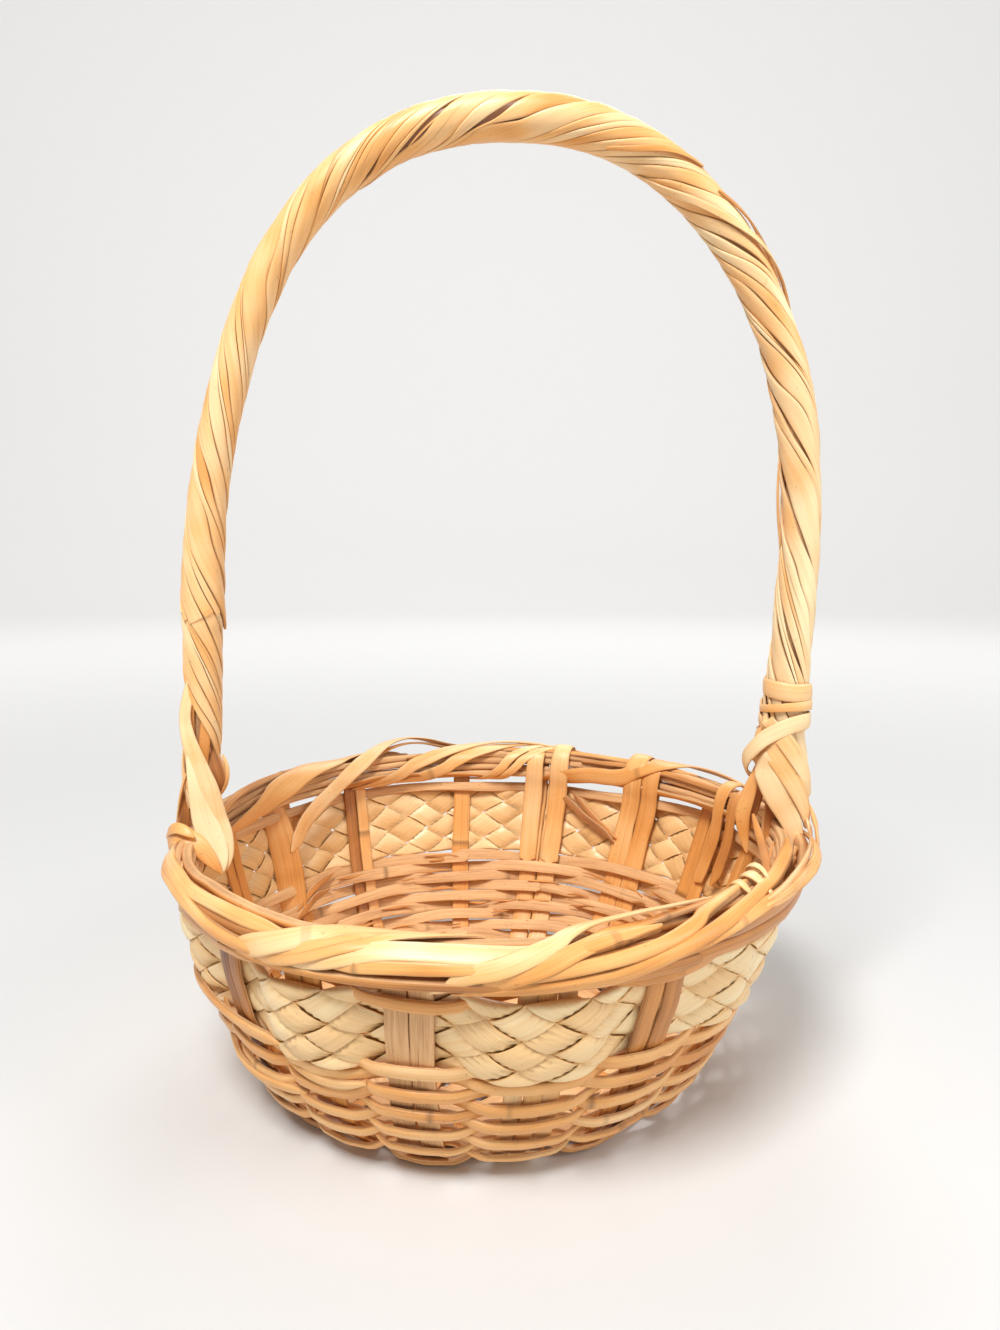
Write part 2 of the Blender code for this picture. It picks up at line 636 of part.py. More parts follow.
def make_wraps(route, lengths, material):
    first = length_at_height(route, lengths, -1, WRAP_BOTTOM)
    last = length_at_height(route, lengths, 1, WRAP_BOTTOM)
    steps = round((last - first) / (WRAP_PITCH * WRAP_STEP_SHARE))
    room = math.tau / WRAP_COUNT
    edge = room * WRAP_GAP_SHARE / 2
    outer = WRAP_INNER + WRAP_THICKNESS
    corners = ((edge, WRAP_INNER), (room / 2, WRAP_INNER), (room - edge, WRAP_INNER),
               (room - edge, outer), (room / 2, outer + WRAP_CROWN), (edge, outer))
    for strip in range(WRAP_COUNT):
        sections = []
        for k in range(steps + 1):
            length = first + (last - first) * k / steps
            point, heading = at_length(route, lengths, length)
            twist = math.tau * (length - first) / WRAP_PITCH + room * strip
            sections.append([handle_point(point, heading, twist + turn, radius, radius)
                             for turn, radius in corners])
        skin(f"handle_wrap_{strip + 1}", sections, False, material, twisted=True)


def make_binding(route, lengths, material):
    """A flat strip wound three times round the right leg."""
    steps = 12
    inner = (WRAP_OUTER + GAP) / math.cos(math.pi / steps) + BEND_EASE
    outer = inner + BINDING_THICKNESS
    middle = length_at_height(route, lengths, 1, BINDING_MIDDLE)
    sections = []
    for k in range(BINDING_TURNS * steps + 1):
        turn = math.tau * k / steps
        length = middle + BINDING_PITCH * (k / steps - BINDING_TURNS / 2)
        section = []
        for radius, aside in ((inner, -1), (inner, 1), (outer, 1), (outer, -1)):
            point, heading = at_length(route, lengths, length + aside * BINDING_WIDTH / 2)
            section.append(handle_point(point, heading, -turn, radius, radius))
        sections.append(section)
    skin("handle_binding", sections, False, material)


def make_tie(name, theta, inside, outside, material):
    """A closed loop of strip round the rim, close beside the handle's foot."""
    seat = GAP + BEND_EASE + FLAT_EASE
    half = RIM_TOP - RIM_MIDDLE + seat
    sections = []
    side, top = TIE_SIDE_SHARE, TIE_TOP_SHARE
    loop = ((-1, -side), (-1, side), (-top, 1), (top, 1), (1, side), (1, -side), (top, -1), (-top, -1))
    turn = TIE_WIDTH / 2 / RIM_RADIUS
    for deep, tall in loop:
        section = []
        for depth, aside in ((0, -1), (0, 1), (1, 1), (1, -1)):
            reach = (inside if deep < 0 else outside) + seat + depth * TIE_THICKNESS
            along = RIM_MIDDLE + tall * (half + depth * TIE_THICKNESS)
            radius, height = wall_offset(along, deep * reach)
            section.append(ring_point(theta + aside * turn, radius / math.cos(turn), height))
        sections.append(section)
    skin(name, sections, True, material)


def make_handle(core_material, strip_material, tie_material):
    route = handle_route()
    lengths = route_lengths(route)
    make_core(route, lengths, core_material)
    make_wraps(route, lengths, strip_material)
    make_binding(route, lengths, strip_material)
    beside = (FOOT_WIDTH + TIE_WIDTH) / 2 + FLAT_EASE + GAP
    make_tie("tie_loop_left", math.pi + beside / RIM_RADIUS, ROD_IN, ROD_OUT, tie_material)
    spread = FOOT_THICKNESS / 2 + GAP + BEND_EASE + ROD_THICKNESS
    make_tie("tie_loop_right", -beside / RIM_RADIUS, spread, spread, strip_material)


def main():
    clear_scene()
    honey = make_material("honey_cane", (0.62, 0.33, 0.11), 0.45)
    tan = make_material("tan_cane", (0.55, 0.32, 0.15), 0.55)
    rough = make_material("rough_cane", (0.42, 0.27, 0.18), 0.75)
    leaf = make_material("palm_leaf", (0.68, 0.56, 0.30), 0.60)
    strip = make_material("handle_cane", (0.66, 0.41, 0.19), 0.45)
    make_stakes(honey)
    make_wall_weavers(tan)
    make_base(rough, rough)
    make_plait(leaf)
    make_rim(rough, strip)
    make_handle(rough, strip, honey)


main()
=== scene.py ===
import math

import bpy
import numpy as np
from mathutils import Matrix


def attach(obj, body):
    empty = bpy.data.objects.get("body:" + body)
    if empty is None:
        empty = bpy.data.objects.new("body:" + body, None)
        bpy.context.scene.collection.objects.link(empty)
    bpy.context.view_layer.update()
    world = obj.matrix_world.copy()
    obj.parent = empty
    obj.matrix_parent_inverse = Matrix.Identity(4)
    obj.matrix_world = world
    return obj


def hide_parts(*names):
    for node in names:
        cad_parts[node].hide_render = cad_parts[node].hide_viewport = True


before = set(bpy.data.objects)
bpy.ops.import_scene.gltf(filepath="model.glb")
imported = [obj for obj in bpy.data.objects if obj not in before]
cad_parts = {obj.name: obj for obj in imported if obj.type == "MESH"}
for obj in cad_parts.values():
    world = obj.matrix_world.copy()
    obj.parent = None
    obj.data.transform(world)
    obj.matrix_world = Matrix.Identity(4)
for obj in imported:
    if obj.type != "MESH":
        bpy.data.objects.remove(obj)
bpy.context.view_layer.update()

# A gift basket of split cane: honey-coloured stakes, half-round weavers, a plait of palm
# leaf, a lashed rim and a tall handle wound with broad strips. Metres, the front is -Y.

mm = 0.001

# The bowl, with the same sizes as the solid pieces
bowl = {
    "baseRadius": 77.5 * mm, "rimRadius": 122.0 * mm, "rimHeight": 97.0 * mm,
    "floorHeight": 3.3 * mm, "oval": 0.96, "lean": 0.05, "shift": -1.1 * mm,
    "rimMiddle": 103.35 * mm, "rimHalf": 6.55 * mm, "rimSkin": 0.6 * mm,
    "rimDepth": 8.0 * mm, "rimOut": 0.3 * mm, "rimSquare": 2.6,
    "rowFirst": 4.9 * mm, "rowPitch": 5.0 * mm, "rows": 11, "footRow": -1.3 * mm,
    "upperRow": 91.4 * mm, "plaitMiddle": 73.3 * mm,
}
# Angle in degrees, strips side by side, width of one strip in mm
stakes = (
    (-158, 2, 8.0), (-137, 2, 8.8), (-119, 2, 7.6), (-101, 2, 8.4), (-80, 3, 6.4),
    (-60, 2, 7.6), (-38, 2, 7.2), (-15, 2, 6.8), (12, 2, 6.4), (28, 2, 7.6), (50, 2, 9.2),
    (75, 2, 7.6), (97, 1, 8.8), (125, 2, 6.0), (147, 2, 7.2), (166, 2, 6.4),
)


def wallTable():
    spread = bowl["rimRadius"] - bowl["baseRadius"]
    rate = (bowl["rimHeight"] - bowl["floorHeight"]) / spread ** 2
    reach = np.linspace(0.0, 0.056, 2801)     # in fine steps to a little above the rim
    rise = rate * reach ** 2
    along = np.concatenate([[0.0], np.cumsum(np.hypot(np.diff(reach), np.diff(rise)))])
    slope = np.arctan(2.0 * rate * reach)
    floor = -bowl["baseRadius"]     # inside the bend the wall is the flat floor
    return (np.concatenate([[floor], along]), np.concatenate([[floor], reach]),
            np.concatenate([[0.0], rise]), np.concatenate([[0.0], slope]))


wallAlong, wallReach, wallRise, wallSlope = wallTable()


def wallProfile(along, away):
    slope = np.interp(along, wallAlong, wallSlope)
    radius = bowl["baseRadius"] + np.interp(along, wallAlong, wallReach) + np.sin(slope) * away
    height = bowl["floorHeight"] + np.interp(along, wallAlong, wallRise) - np.cos(slope) * away
    return radius, height


# From the round upright bowl to the real one, which is oval and leans
def lean(x, y, z):
    return np.stack(np.broadcast_arrays(
        x + bowl["lean"] * (z - bowl["rimHeight"]) + bowl["shift"], bowl["oval"] * y, z), -1)


# A spot on the wall: angle round the bowl, length up the wall, distance out from its middle
def wallSpot(angle, along, away):
    radius, height = wallProfile(along, away)
    return lean(radius * np.cos(angle), radius * np.sin(angle), height)


# A spot on a strip that runs up the wall beside others
def stakeSpot(angle, across, along, away):
    radius, height = wallProfile(along, away)
    return lean(radius * np.cos(angle) - across * np.sin(angle),
                radius * np.sin(angle) + across * np.cos(angle), height)


def wallOutward(angle, along):
    return unit(wallSpot(angle, along, 0.5 * mm) - wallSpot(angle, along, 0.0))


def unit(vectors):
    return vectors / np.linalg.norm(vectors, axis=-1, keepdims=True)


# A spot on the rim's bundle and its outward direction: angle in degrees, and the way round
# its section (0 under it, 0.25 inside, 0.5 on top, 0.75 outside)
def rimSpot(angle, phase, lift=0.0):
    def at(more):
        turn = math.tau * np.asarray(phase)
        inward, up = np.sin(turn), -np.cos(turn)
        power = 2.0 / bowl["rimSquare"]
        away = -np.sign(inward) * np.abs(inward) ** power * (bowl["rimDepth"] + more)
        away = away + bowl["rimOut"]
        rise = np.sign(up) * np.abs(up) ** power * (bowl["rimHalf"] + bowl["rimSkin"] + more)
        return wallSpot(np.radians(angle), bowl["rimMiddle"] + rise, away)
    return at(lift), unit(at(np.asarray(lift) + 1.0 * mm) - at(np.asarray(lift)))


# A smooth line through points, with spots about one step apart
def smoothLine(points, step):
    points = np.asarray(points, float)
    ends = np.vstack([2 * points[0] - points[1], points, 2 * points[-1] - points[-2]])
    line = []
    for k in range(1, len(ends) - 2):
        a, b, c, d = ends[k - 1:k + 3]
        count = max(2, int(np.linalg.norm(c - b) / step))
        t = (np.arange(count) / count)[:, None]
        line.append(0.5 * (2 * b + (c - a) * t + (2 * a - 5 * b + 4 * c - d) * t ** 2
                           + (3 * b - a - 3 * c + d) * t ** 3))
    line.append(points[-1:])
    return np.vstack(line)


# A slow uneven drift, the same each time for one seed
def drift(run, size, length, seed):
    chance = np.random.RandomState(seed)
    total = np.zeros(len(run))
    for share in (1.0, 0.55, 0.3):
        total += share * np.sin(math.tau * run / (length * share * chance.uniform(0.8, 1.25))
                                + chance.uniform(0, math.tau))
    return size * total / 1.4


def runOf(points):
    return np.concatenate([[0.0], np.cumsum(np.linalg.norm(np.diff(points, axis=0), axis=1))])


def smooth(share):
    share = np.clip(share, 0.0, 1.0)
    return share * share * (3.0 - 2.0 * share)


# Nodes, for the splint tree and the finishes alike
def addNode(tree, kind, inputs=None, **settings):
    node = tree.nodes.new(kind)
    for name, value in settings.items():
        setattr(node, name, value)
    for name, value in (inputs or {}).items():
        socket = node.inputs[name] if isinstance(name, int) else \
            next(one for one in node.inputs if one.name == name and one.enabled)
        if isinstance(value, bpy.types.NodeSocket):
            tree.links.new(value, socket)
        else:
            socket.default_value = value
    return node


def out(node, name=None):
    return next(one for one in node.outputs if one.enabled and name in (None, one.name))


def calc(tree, operation, *values, clamp=False):
    return out(addNode(tree, "ShaderNodeMath", dict(enumerate(values)), operation=operation,
                       use_clamp=clamp))


def vectorCalc(tree, operation, *values):
    node = addNode(tree, "ShaderNodeVectorMath", operation=operation)
    for k, value in enumerate(values):
        if isinstance(value, bpy.types.NodeSocket):
            tree.links.new(value, node.inputs[k])
        else:
            node.inputs[k].default_value = value
    return out(node)


def scaleVector(tree, vector, factor):
    node = addNode(tree, "ShaderNodeVectorMath", {0: vector, "Scale": factor}, operation="SCALE")
    return out(node)


# The splint: a flat or half-round strip that follows a line. Each point of the line says
# which way its smooth side faces and how wide, thick and hollow the strip is there.
splintInputs = {}


def makeSplintTree():
    tree = bpy.data.node_groups.new("splint along a line", "GeometryNodeTree")
    face = tree.interface
    face.new_socket("Lines", in_out="INPUT", socket_type="NodeSocketGeometry")
    face.new_socket("Splints", in_out="OUTPUT", socket_type="NodeSocketGeometry")
    for name, kind, value in (
            ("Points Round", "NodeSocketInt", 20), ("Edge Power", "NodeSocketFloat", 0.7),
            ("Skin Power", "NodeSocketFloat", 0.45), ("Back Power", "NodeSocketFloat", 0.35),
            ("Grain Depth", "NodeSocketFloat", 0.1 * mm),
            ("Back Grain", "NodeSocketFloat", 0.2 * mm),
            ("Knot Rise", "NodeSocketFloat", 0.5 * mm), ("Seed", "NodeSocketFloat", 1.0),
            ("Finish", "NodeSocketMaterial", None)):
        socket = face.new_socket(name, in_out="INPUT", socket_type=kind)
        if value is not None:
            socket.default_value = value
        splintInputs[name] = socket.identifier
    given = addNode(tree, "NodeGroupInput")

    def named(name, kind="FLOAT"):
        return out(addNode(tree, "GeometryNodeInputNamedAttribute", {"Name": name},
                           data_type=kind))

    def store(geometry, name, value, kind="FLOAT"):
        return out(addNode(tree, "GeometryNodeStoreNamedAttribute",
                           {"Geometry": geometry, "Name": name, "Value": value},
                           data_type=kind, domain="POINT"))

    # The line's own frame: side, up and middle
    curve = out(addNode(tree, "GeometryNodeMeshToCurve", {"Mesh": out(given, "Lines")}))
    tangent = out(addNode(tree, "GeometryNodeInputTangent"))
    side = vectorCalc(tree, "NORMALIZE",
                      vectorCalc(tree, "CROSS_PRODUCT", tangent, named("outward", "FLOAT_VECTOR")))
    upward = vectorCalc(tree, "CROSS_PRODUCT", side, tangent)
    curve = store(curve, "side", side, "FLOAT_VECTOR")
    curve = store(curve, "upward", upward, "FLOAT_VECTOR")
    middle = out(addNode(tree, "GeometryNodeInputPosition"))
    curve = store(curve, "middle", middle, "FLOAT_VECTOR")
    # A circle that carries its own two coordinates, swept along the line
    ring = out(addNode(tree, "GeometryNodeCurvePrimitiveCircle",
                       {"Resolution": out(given, "Points Round"), "Radius": 1.0}), "Curve")
    apart = addNode(tree, "ShaderNodeSeparateXYZ",
                    {"Vector": out(addNode(tree, "GeometryNodeInputPosition"))})
    ring = store(ring, "ringX", apart.outputs[0])
    ring = store(ring, "ringY", apart.outputs[1])
    mesh = out(addNode(tree, "GeometryNodeCurveToMesh",
                       {"Curve": curve, "Profile Curve": ring, "Fill Caps": True}))
    # The circle becomes a strip's section: square-ish edges, own roundness for skin and back
    ringX, ringY = named("ringX"), named("ringY")
    across = calc(tree, "MULTIPLY", calc(tree, "SIGN", ringX), calc(
        tree, "POWER", calc(tree, "ABSOLUTE", ringX), out(given, "Edge Power")))
    across = calc(tree, "MULTIPLY", calc(tree, "MULTIPLY", across, named("wide")), 0.5)
    height = calc(tree, "ABSOLUTE", ringY)
    skin = calc(tree, "POWER", height, out(given, "Skin Power"))
    back = calc(tree, "MULTIPLY", calc(tree, "POWER", height, out(given, "Back Power")), -1.0)
    isSkin = calc(tree, "GREATER_THAN", ringY, 0.0)
    faceUp = out(addNode(tree, "ShaderNodeMix", {"Factor": isSkin, 2: back, 3: skin}))
    # Grain: ridges that run along the strip, deeper on its rough back
    acrossGrain, alongGrain, seedStep = 650.0, 32.0, 7.31
    place = out(addNode(tree, "ShaderNodeCombineXYZ", {
        "X": calc(tree, "MULTIPLY", across, acrossGrain),
        "Y": calc(tree, "MULTIPLY", named("run"), alongGrain),
        "Z": calc(tree, "ADD", calc(tree, "MULTIPLY", named("seed"), seedStep),
                  out(given, "Seed"))}))
    grain = out(addNode(tree, "ShaderNodeTexNoise",
                        {"Vector": place, "Scale": 1.0, "Detail": 2.0}))
    grain = calc(tree, "SUBTRACT", grain, 0.5)
    depth = out(addNode(tree, "ShaderNodeMix", {
        "Factor": isSkin, 2: out(given, "Back Grain"), 3: out(given, "Grain Depth")}))
    swell = calc(tree, "MULTIPLY", named("knot"), out(given, "Knot Rise"))
    rise = calc(tree, "ADD", calc(tree, "MULTIPLY", named("thick"), 0.5),
                calc(tree, "ADD", calc(tree, "MULTIPLY", grain, depth), swell))
    rise = calc(tree, "MULTIPLY", rise, faceUp)
    hollow = calc(tree, "MULTIPLY", calc(tree, "MULTIPLY", across, across),
                  calc(tree, "MULTIPLY", named("bow"), 0.5))
    rise = calc(tree, "SUBTRACT", rise, hollow)
    spot = vectorCalc(tree, "ADD", named("middle", "FLOAT_VECTOR"), vectorCalc(
        tree, "ADD", scaleVector(tree, named("side", "FLOAT_VECTOR"), across),
        scaleVector(tree, named("upward", "FLOAT_VECTOR"), rise)))
    mesh = store(mesh, "across", across)
    mesh = store(mesh, "face", faceUp)
    mesh = out(addNode(tree, "GeometryNodeSetPosition", {"Geometry": mesh, "Position": spot}))
    mesh = out(addNode(tree, "GeometryNodeSetShadeSmooth", {"Geometry": mesh}))
    mesh = out(addNode(tree, "GeometryNodeRealizeInstances", {"Geometry": mesh}))
    mesh = out(addNode(tree, "GeometryNodeSetMaterial",
                       {"Geometry": mesh, "Material": out(given, "Finish")}))
    addNode(tree, "NodeGroupOutput", {"Splints": mesh})
    return tree


splintTree = makeSplintTree()


# One splint: its line and what it is like. Width, thickness and hollow in metres or 1/m,
# one number or one for each point; knots are (share of the length, strength). It narrows to
# about half at both ends, over the length that blunt gives.
def splint(points, outward, wide, thick, tone, seed, bow=0.0, knots=(), blunt=1.5 * mm,
           knotLength=1.6 * mm):
    run = runOf(points)
    knot = np.zeros(len(run))
    for share, strength in knots:
        knot += strength * np.exp(-((run - share * run[-1]) / knotLength) ** 2)
    ends = np.minimum(run, run[-1] - run) / blunt if blunt else np.ones(len(run))
    wide = np.asarray(wide) * (0.55 + 0.45 * np.sqrt(np.clip(ends, 0.0, 1.0)))
    whole = np.ones(len(run))
    return {"points": points, "outward": unit(np.asarray(outward)), "wide": wide * whole,
            "thick": np.asarray(thick) * whole, "tone": np.asarray(tone) * whole,
            "seed": seed * whole, "bow": np.asarray(bow) * whole, "knot": knot, "run": run}


# Lays all the splints of one piece and turns them into one plain mesh
def layPiece(name, splints, finish, settings, nodes):
    mesh = bpy.data.meshes.new(name + " lines")
    sizes = [len(one["points"]) for one in splints]
    starts = np.cumsum([0] + sizes)
    edges = np.vstack([np.stack([np.arange(a, b - 1), np.arange(a + 1, b)], 1)
                       for a, b in zip(starts, starts[1:])])
    mesh.vertices.add(starts[-1])
    mesh.edges.add(len(edges))
    mesh.vertices.foreach_set("co", np.vstack([one["points"] for one in splints]).ravel())
    mesh.edges.foreach_set("vertices", edges.ravel())
    for key in ("outward", "wide", "thick", "tone", "seed", "bow", "knot", "run"):
        kind, field = ("FLOAT_VECTOR", "vector") if key == "outward" else ("FLOAT", "value")
        layer = mesh.attributes.new(key, kind, "POINT")
        layer.data.foreach_set(field, np.concatenate([one[key].ravel() for one in splints]))
    lines = bpy.data.objects.new(name + " lines", mesh)
    bpy.context.scene.collection.objects.link(lines)
    modifier = lines.modifiers.new("splints", "NODES")
    modifier.node_group = splintTree
    for key, value in settings.items():
        modifier[splintInputs[key]] = value
    modifier[splintInputs["Finish"]] = finish
    laid = lines.evaluated_get(bpy.context.evaluated_depsgraph_get())
    result = bpy.data.meshes.new_from_object(laid)
    bpy.data.objects.remove(lines)
    # the finish reads across, face, knot, run, seed and tone; the rest has done its work
    for key in ("outward", "wide", "thick", "bow", "side", "upward", "middle", "ringX", "ringY"):
        result.attributes.remove(result.attributes[key])
    result.set_sharp_from_angle(angle=math.radians(55))
    finishPiece(name, result, nodes)


def finishPiece(name, mesh, nodes):
    mesh.name = name
    piece = bpy.data.objects.new(name, mesh)
    bpy.context.scene.collection.objects.link(piece)
    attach(piece, "root")
    if nodes:
        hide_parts(*nodes)
    print(name, "laid:", len(mesh.polygons), "faces")


# Finishes. Tone runs from 0, dark brown, over honey orange to 1, pale straw.
def makeFinish(name, look):
    material = bpy.data.materials.new(name)
    material.use_nodes = True
    tree = material.node_tree
    shader = next(node for node in tree.nodes if node.type == "BSDF_PRINCIPLED")
    shader.inputs["Metallic"].default_value = 0.0
    shader.inputs["Specular IOR Level"].default_value = look["gloss"]

    def read(attribute):
        return out(addNode(tree, "ShaderNodeAttribute", attribute_name=attribute), "Fac")

    def noise(x, y, detail=3.0, roughness=0.55):
        at = out(addNode(tree, "ShaderNodeCombineXYZ", {
            "X": calc(tree, "MULTIPLY", across, x), "Y": calc(tree, "MULTIPLY", run, y),
            "Z": calc(tree, "MULTIPLY", seed, 3.7)}))
        return out(addNode(tree, "ShaderNodeTexNoise", {
            "Vector": at, "Scale": 1.0, "Detail": detail, "Roughness": roughness}), "Fac")

    def ramp(value, stops):
        node = addNode(tree, "ShaderNodeValToRGB", {"Fac": value})
        line = node.color_ramp
        while len(line.elements) < len(stops):
            line.elements.new(0.5)
        for element, (place, colour) in zip(line.elements, stops):
            element.position = place
            element.color = (*colour, 1.0)
        return out(node, "Color")

    def blend(factor, low, high):
        node = addNode(tree, "ShaderNodeMix", data_type="RGBA")
        for socket, value in zip((0, 6, 7), (factor, low, high)):
            if isinstance(value, bpy.types.NodeSocket):
                tree.links.new(value, node.inputs[socket])
            else:
                node.inputs[socket].default_value = (*value, 1.0)
        return node.outputs[2]

    across, run, seed = read("across"), read("run"), read("seed")
    face, knot, tone = read("face"), read("knot"), read("tone")
    # Noise scales across and along the strip, then detail and roughness
    fibres = noise(1500.0, 14.0)            # fine streaks along the strip
    patches = noise(110.0, 24.0, 2.0)       # weathered and sun-bleached stretches
    splits = noise(1150.0, 7.0, 4.0, 0.7)   # long dark checks
    pithFibres = noise(2100.0, 38.0, 5.0, 0.7)
    # The smooth skin
    shade = calc(tree, "ADD", tone, calc(tree, "MULTIPLY", calc(tree, "SUBTRACT", fibres, 0.5),
                                         look["streaks"]))
    shade = calc(tree, "ADD", shade, calc(tree, "MULTIPLY", calc(tree, "SUBTRACT", patches, 0.5),
                                          look["patches"]))
    skin = ramp(shade, look["skin"])
    # The rough split back
    grey = calc(tree, "ADD", calc(tree, "MULTIPLY", pithFibres, 0.75),
                calc(tree, "MULTIPLY", patches, 0.35))
    pith = ramp(grey, look["pith"])
    isPith = out(addNode(tree, "ShaderNodeMapRange", {
        "Value": face, "From Min": look["skinEdge"], "From Max": look["skinEdge"] - 0.35}))
    colour = blend(isPith, skin, pith)
    # Dark checks, darker narrow edges (partly dirt, partly painted shade where strips meet) and
    # the ring of a node
    check = out(addNode(tree, "ShaderNodeMapRange", {
        "Value": splits, "From Min": look["checkFrom"], "From Max": look["checkFrom"] - 0.06}))
    colour = blend(calc(tree, "MULTIPLY", check, look["checks"]), colour, look["dark"])
    # painted shade with some dirt: the strip's narrow edges, where it meets its neighbours, go
    # darker
    edge = out(addNode(tree, "ShaderNodeMapRange", {
        "Value": calc(tree, "ABSOLUTE", face), "From Min": 0.75, "From Max": 0.1}))
    colour = blend(calc(tree, "MULTIPLY", edge, look["edges"]), colour, look["dark"])
    ring = out(addNode(tree, "ShaderNodeMapRange", {
        "Value": knot, "From Min": 0.25, "From Max": 0.95}))
    colour = blend(calc(tree, "MULTIPLY", ring, 0.6), colour, look["dark"])
    # Small dark specks, in the object's own space
    spots = out(addNode(tree, "ShaderNodeTexNoise", {
        "Vector": out(addNode(tree, "ShaderNodeTexCoord"), "Object"), "Scale": 520.0,
        "Detail": 1.0}), "Fac")
    spots = out(addNode(tree, "ShaderNodeMapRange", {
        "Value": spots, "From Min": 0.70, "From Max": 0.78}))
    colour = blend(calc(tree, "MULTIPLY", spots, look["specks"]), colour, look["dark"])
    tree.links.new(colour, shader.inputs["Base Color"])
    # Shine on the skin, none on the pith
    rough = calc(tree, "ADD", calc(tree, "MULTIPLY", patches, 0.3), look["roughness"] - 0.15)
    rough = calc(tree, "ADD", rough, calc(tree, "MULTIPLY", isPith, 0.3), clamp=True)
    tree.links.new(rough, shader.inputs["Roughness"])
    height = calc(tree, "ADD", calc(tree, "MULTIPLY", fibres, 0.5),
                  calc(tree, "MULTIPLY", calc(tree, "MULTIPLY", pithFibres, isPith), 1.3))
    height = calc(tree, "SUBTRACT", height, calc(tree, "MULTIPLY", check, 0.8))
    bump = addNode(tree, "ShaderNodeBump", {
        "Height": height, "Strength": look["relief"], "Distance": 0.25 * mm})
    tree.links.new(out(bump), shader.inputs["Normal"])
    return material


caneSkin = ((0.0, (0.19, 0.070, 0.024)), (0.2, (0.45, 0.175, 0.048)),
            (0.42, (0.76, 0.325, 0.080)), (0.62, (0.89, 0.480, 0.170)),
            (0.82, (0.94, 0.630, 0.320)), (1.0, (0.96, 0.770, 0.450)))
canePith = ((0.27, (0.20, 0.085, 0.035)), (0.45, (0.64, 0.340, 0.150)),
            (0.66, (0.88, 0.545, 0.260)), (0.9, (0.94, 0.670, 0.380)))
# edges: how much the strips' narrow edges are darkened, partly dirt and partly painted shade
caneLook = {
    "skin": caneSkin, "pith": canePith, "dark": (0.105, 0.042, 0.018), "gloss": 0.45,
    "roughness": 0.40, "streaks": 0.36, "patches": 0.38, "skinEdge": 0.25, "checkFrom": 0.36,
    "checks": 0.55, "edges": 0.35, "specks": 0.22, "relief": 0.45,
}
finishes = {
    "honey cane": makeFinish("honey cane", caneLook),
    "tan cane": makeFinish("tan cane", {**caneLook, "streaks": 0.42, "edges": 0.25,
                                        "skinEdge": 0.0, "roughness": 0.36}),
    "rough cane": makeFinish("rough cane", {**caneLook, "skinEdge": 0.9, "roughness": 0.6,
                                            "checks": 0.75, "relief": 0.7, "streaks": 0.5}),
    "handle cane": makeFinish("handle cane", {**caneLook, "streaks": 0.30, "patches": 0.42,
                                              "checkFrom": 0.37}),
    "palm leaf": makeFinish("palm leaf", {
        **caneLook, "skinEdge": -2.0, "gloss": 0.5, "roughness": 0.38, "streaks": 0.46,
        "patches": 0.42, "checks": 0.25, "edges": 0.15, "specks": 0.2, "relief": 0.3,
        "skin": ((0.0, (0.46, 0.235, 0.080)), (0.35, (0.76, 0.460, 0.185)),
                 (0.66, (0.93, 0.615, 0.290)), (0.95, (0.98, 0.780, 0.455)))}),
}


# The section of a listed strip: smooth side rounded, back flatter
stripSection = {"Points Round": 18, "Edge Power": 0.85, "Skin Power": 0.6, "Back Power": 0.4}


# Stakes: for each, the tones of its strips in the order of the angle, and whether the
# smooth skin faces out (1) or into the bowl (-1)
stakeLook = {
    "thick": 1.5 * mm, "tuck": 13.3 * mm, "top": 108.6 * mm, "topStep": 0.3 * mm,
    "step": 1.8 * mm, "bow": 18.0, "filled": 0.965, "proud": 0.4 * mm,
    # how far a strip sways sideways and in and out, and over what length
    "sway": (0.25 * mm, 60 * mm), "wave": (0.12 * mm, 35 * mm),
    # near the floor all the stakes come to one width
    "taperFrom": 8.0 * mm, "taperTo": -4.0 * mm, "taperWidth": 8.0 * mm,
    "wider": {75: 1.25, 50: 1.12, 28: 1.1, -137: 0.8},
    # mm that a stake stands out where it crosses the plait
    "lifted": {-137: 1.3, -60: 0.9}, "liftedHalf": 15 * mm,
    "tones": {
        -158: ((0.30, 0.36), 1), -137: ((0.08, 0.20), 1), -119: ((0.50, 0.42), 1),
        -101: ((0.46, 0.34), -1), -80: ((0.80, 0.68, 0.76), 1), -60: ((0.34, 0.26), 1),
        -38: ((0.40, 0.50), 1), -15: ((0.45, 0.38), 1), 12: ((0.40, 0.50), -1),
        28: ((0.44, 0.36), -1), 50: ((0.54, 0.50), -1), 75: ((0.68, 0.62), -1),
        97: ((0.54,), -1), 125: ((0.62, 0.24), -1), 147: ((0.46, 0.42), -1),
        166: ((0.42, 0.36), -1),
    },
    # stake and strip, and the share of the strip's length at which a knot lies
    "knots": {(-101, 0): 0.46, (147, 0): 0.52, (97, 0): 0.62, (75, 0): 0.74, (125, 0): 0.71,
              (28, 1): 0.56, (-60, 1): 0.35, (-137, 0): 0.6, (166, 1): 0.5},
}


# The width of a whole stake, from its full one
def stakeWidth(along, full):
    look = stakeLook
    share = np.clip((along - look["taperTo"]) / (look["taperFrom"] - look["taperTo"]), 0, 1)
    return look["taperWidth"] + (full - look["taperWidth"]) * share


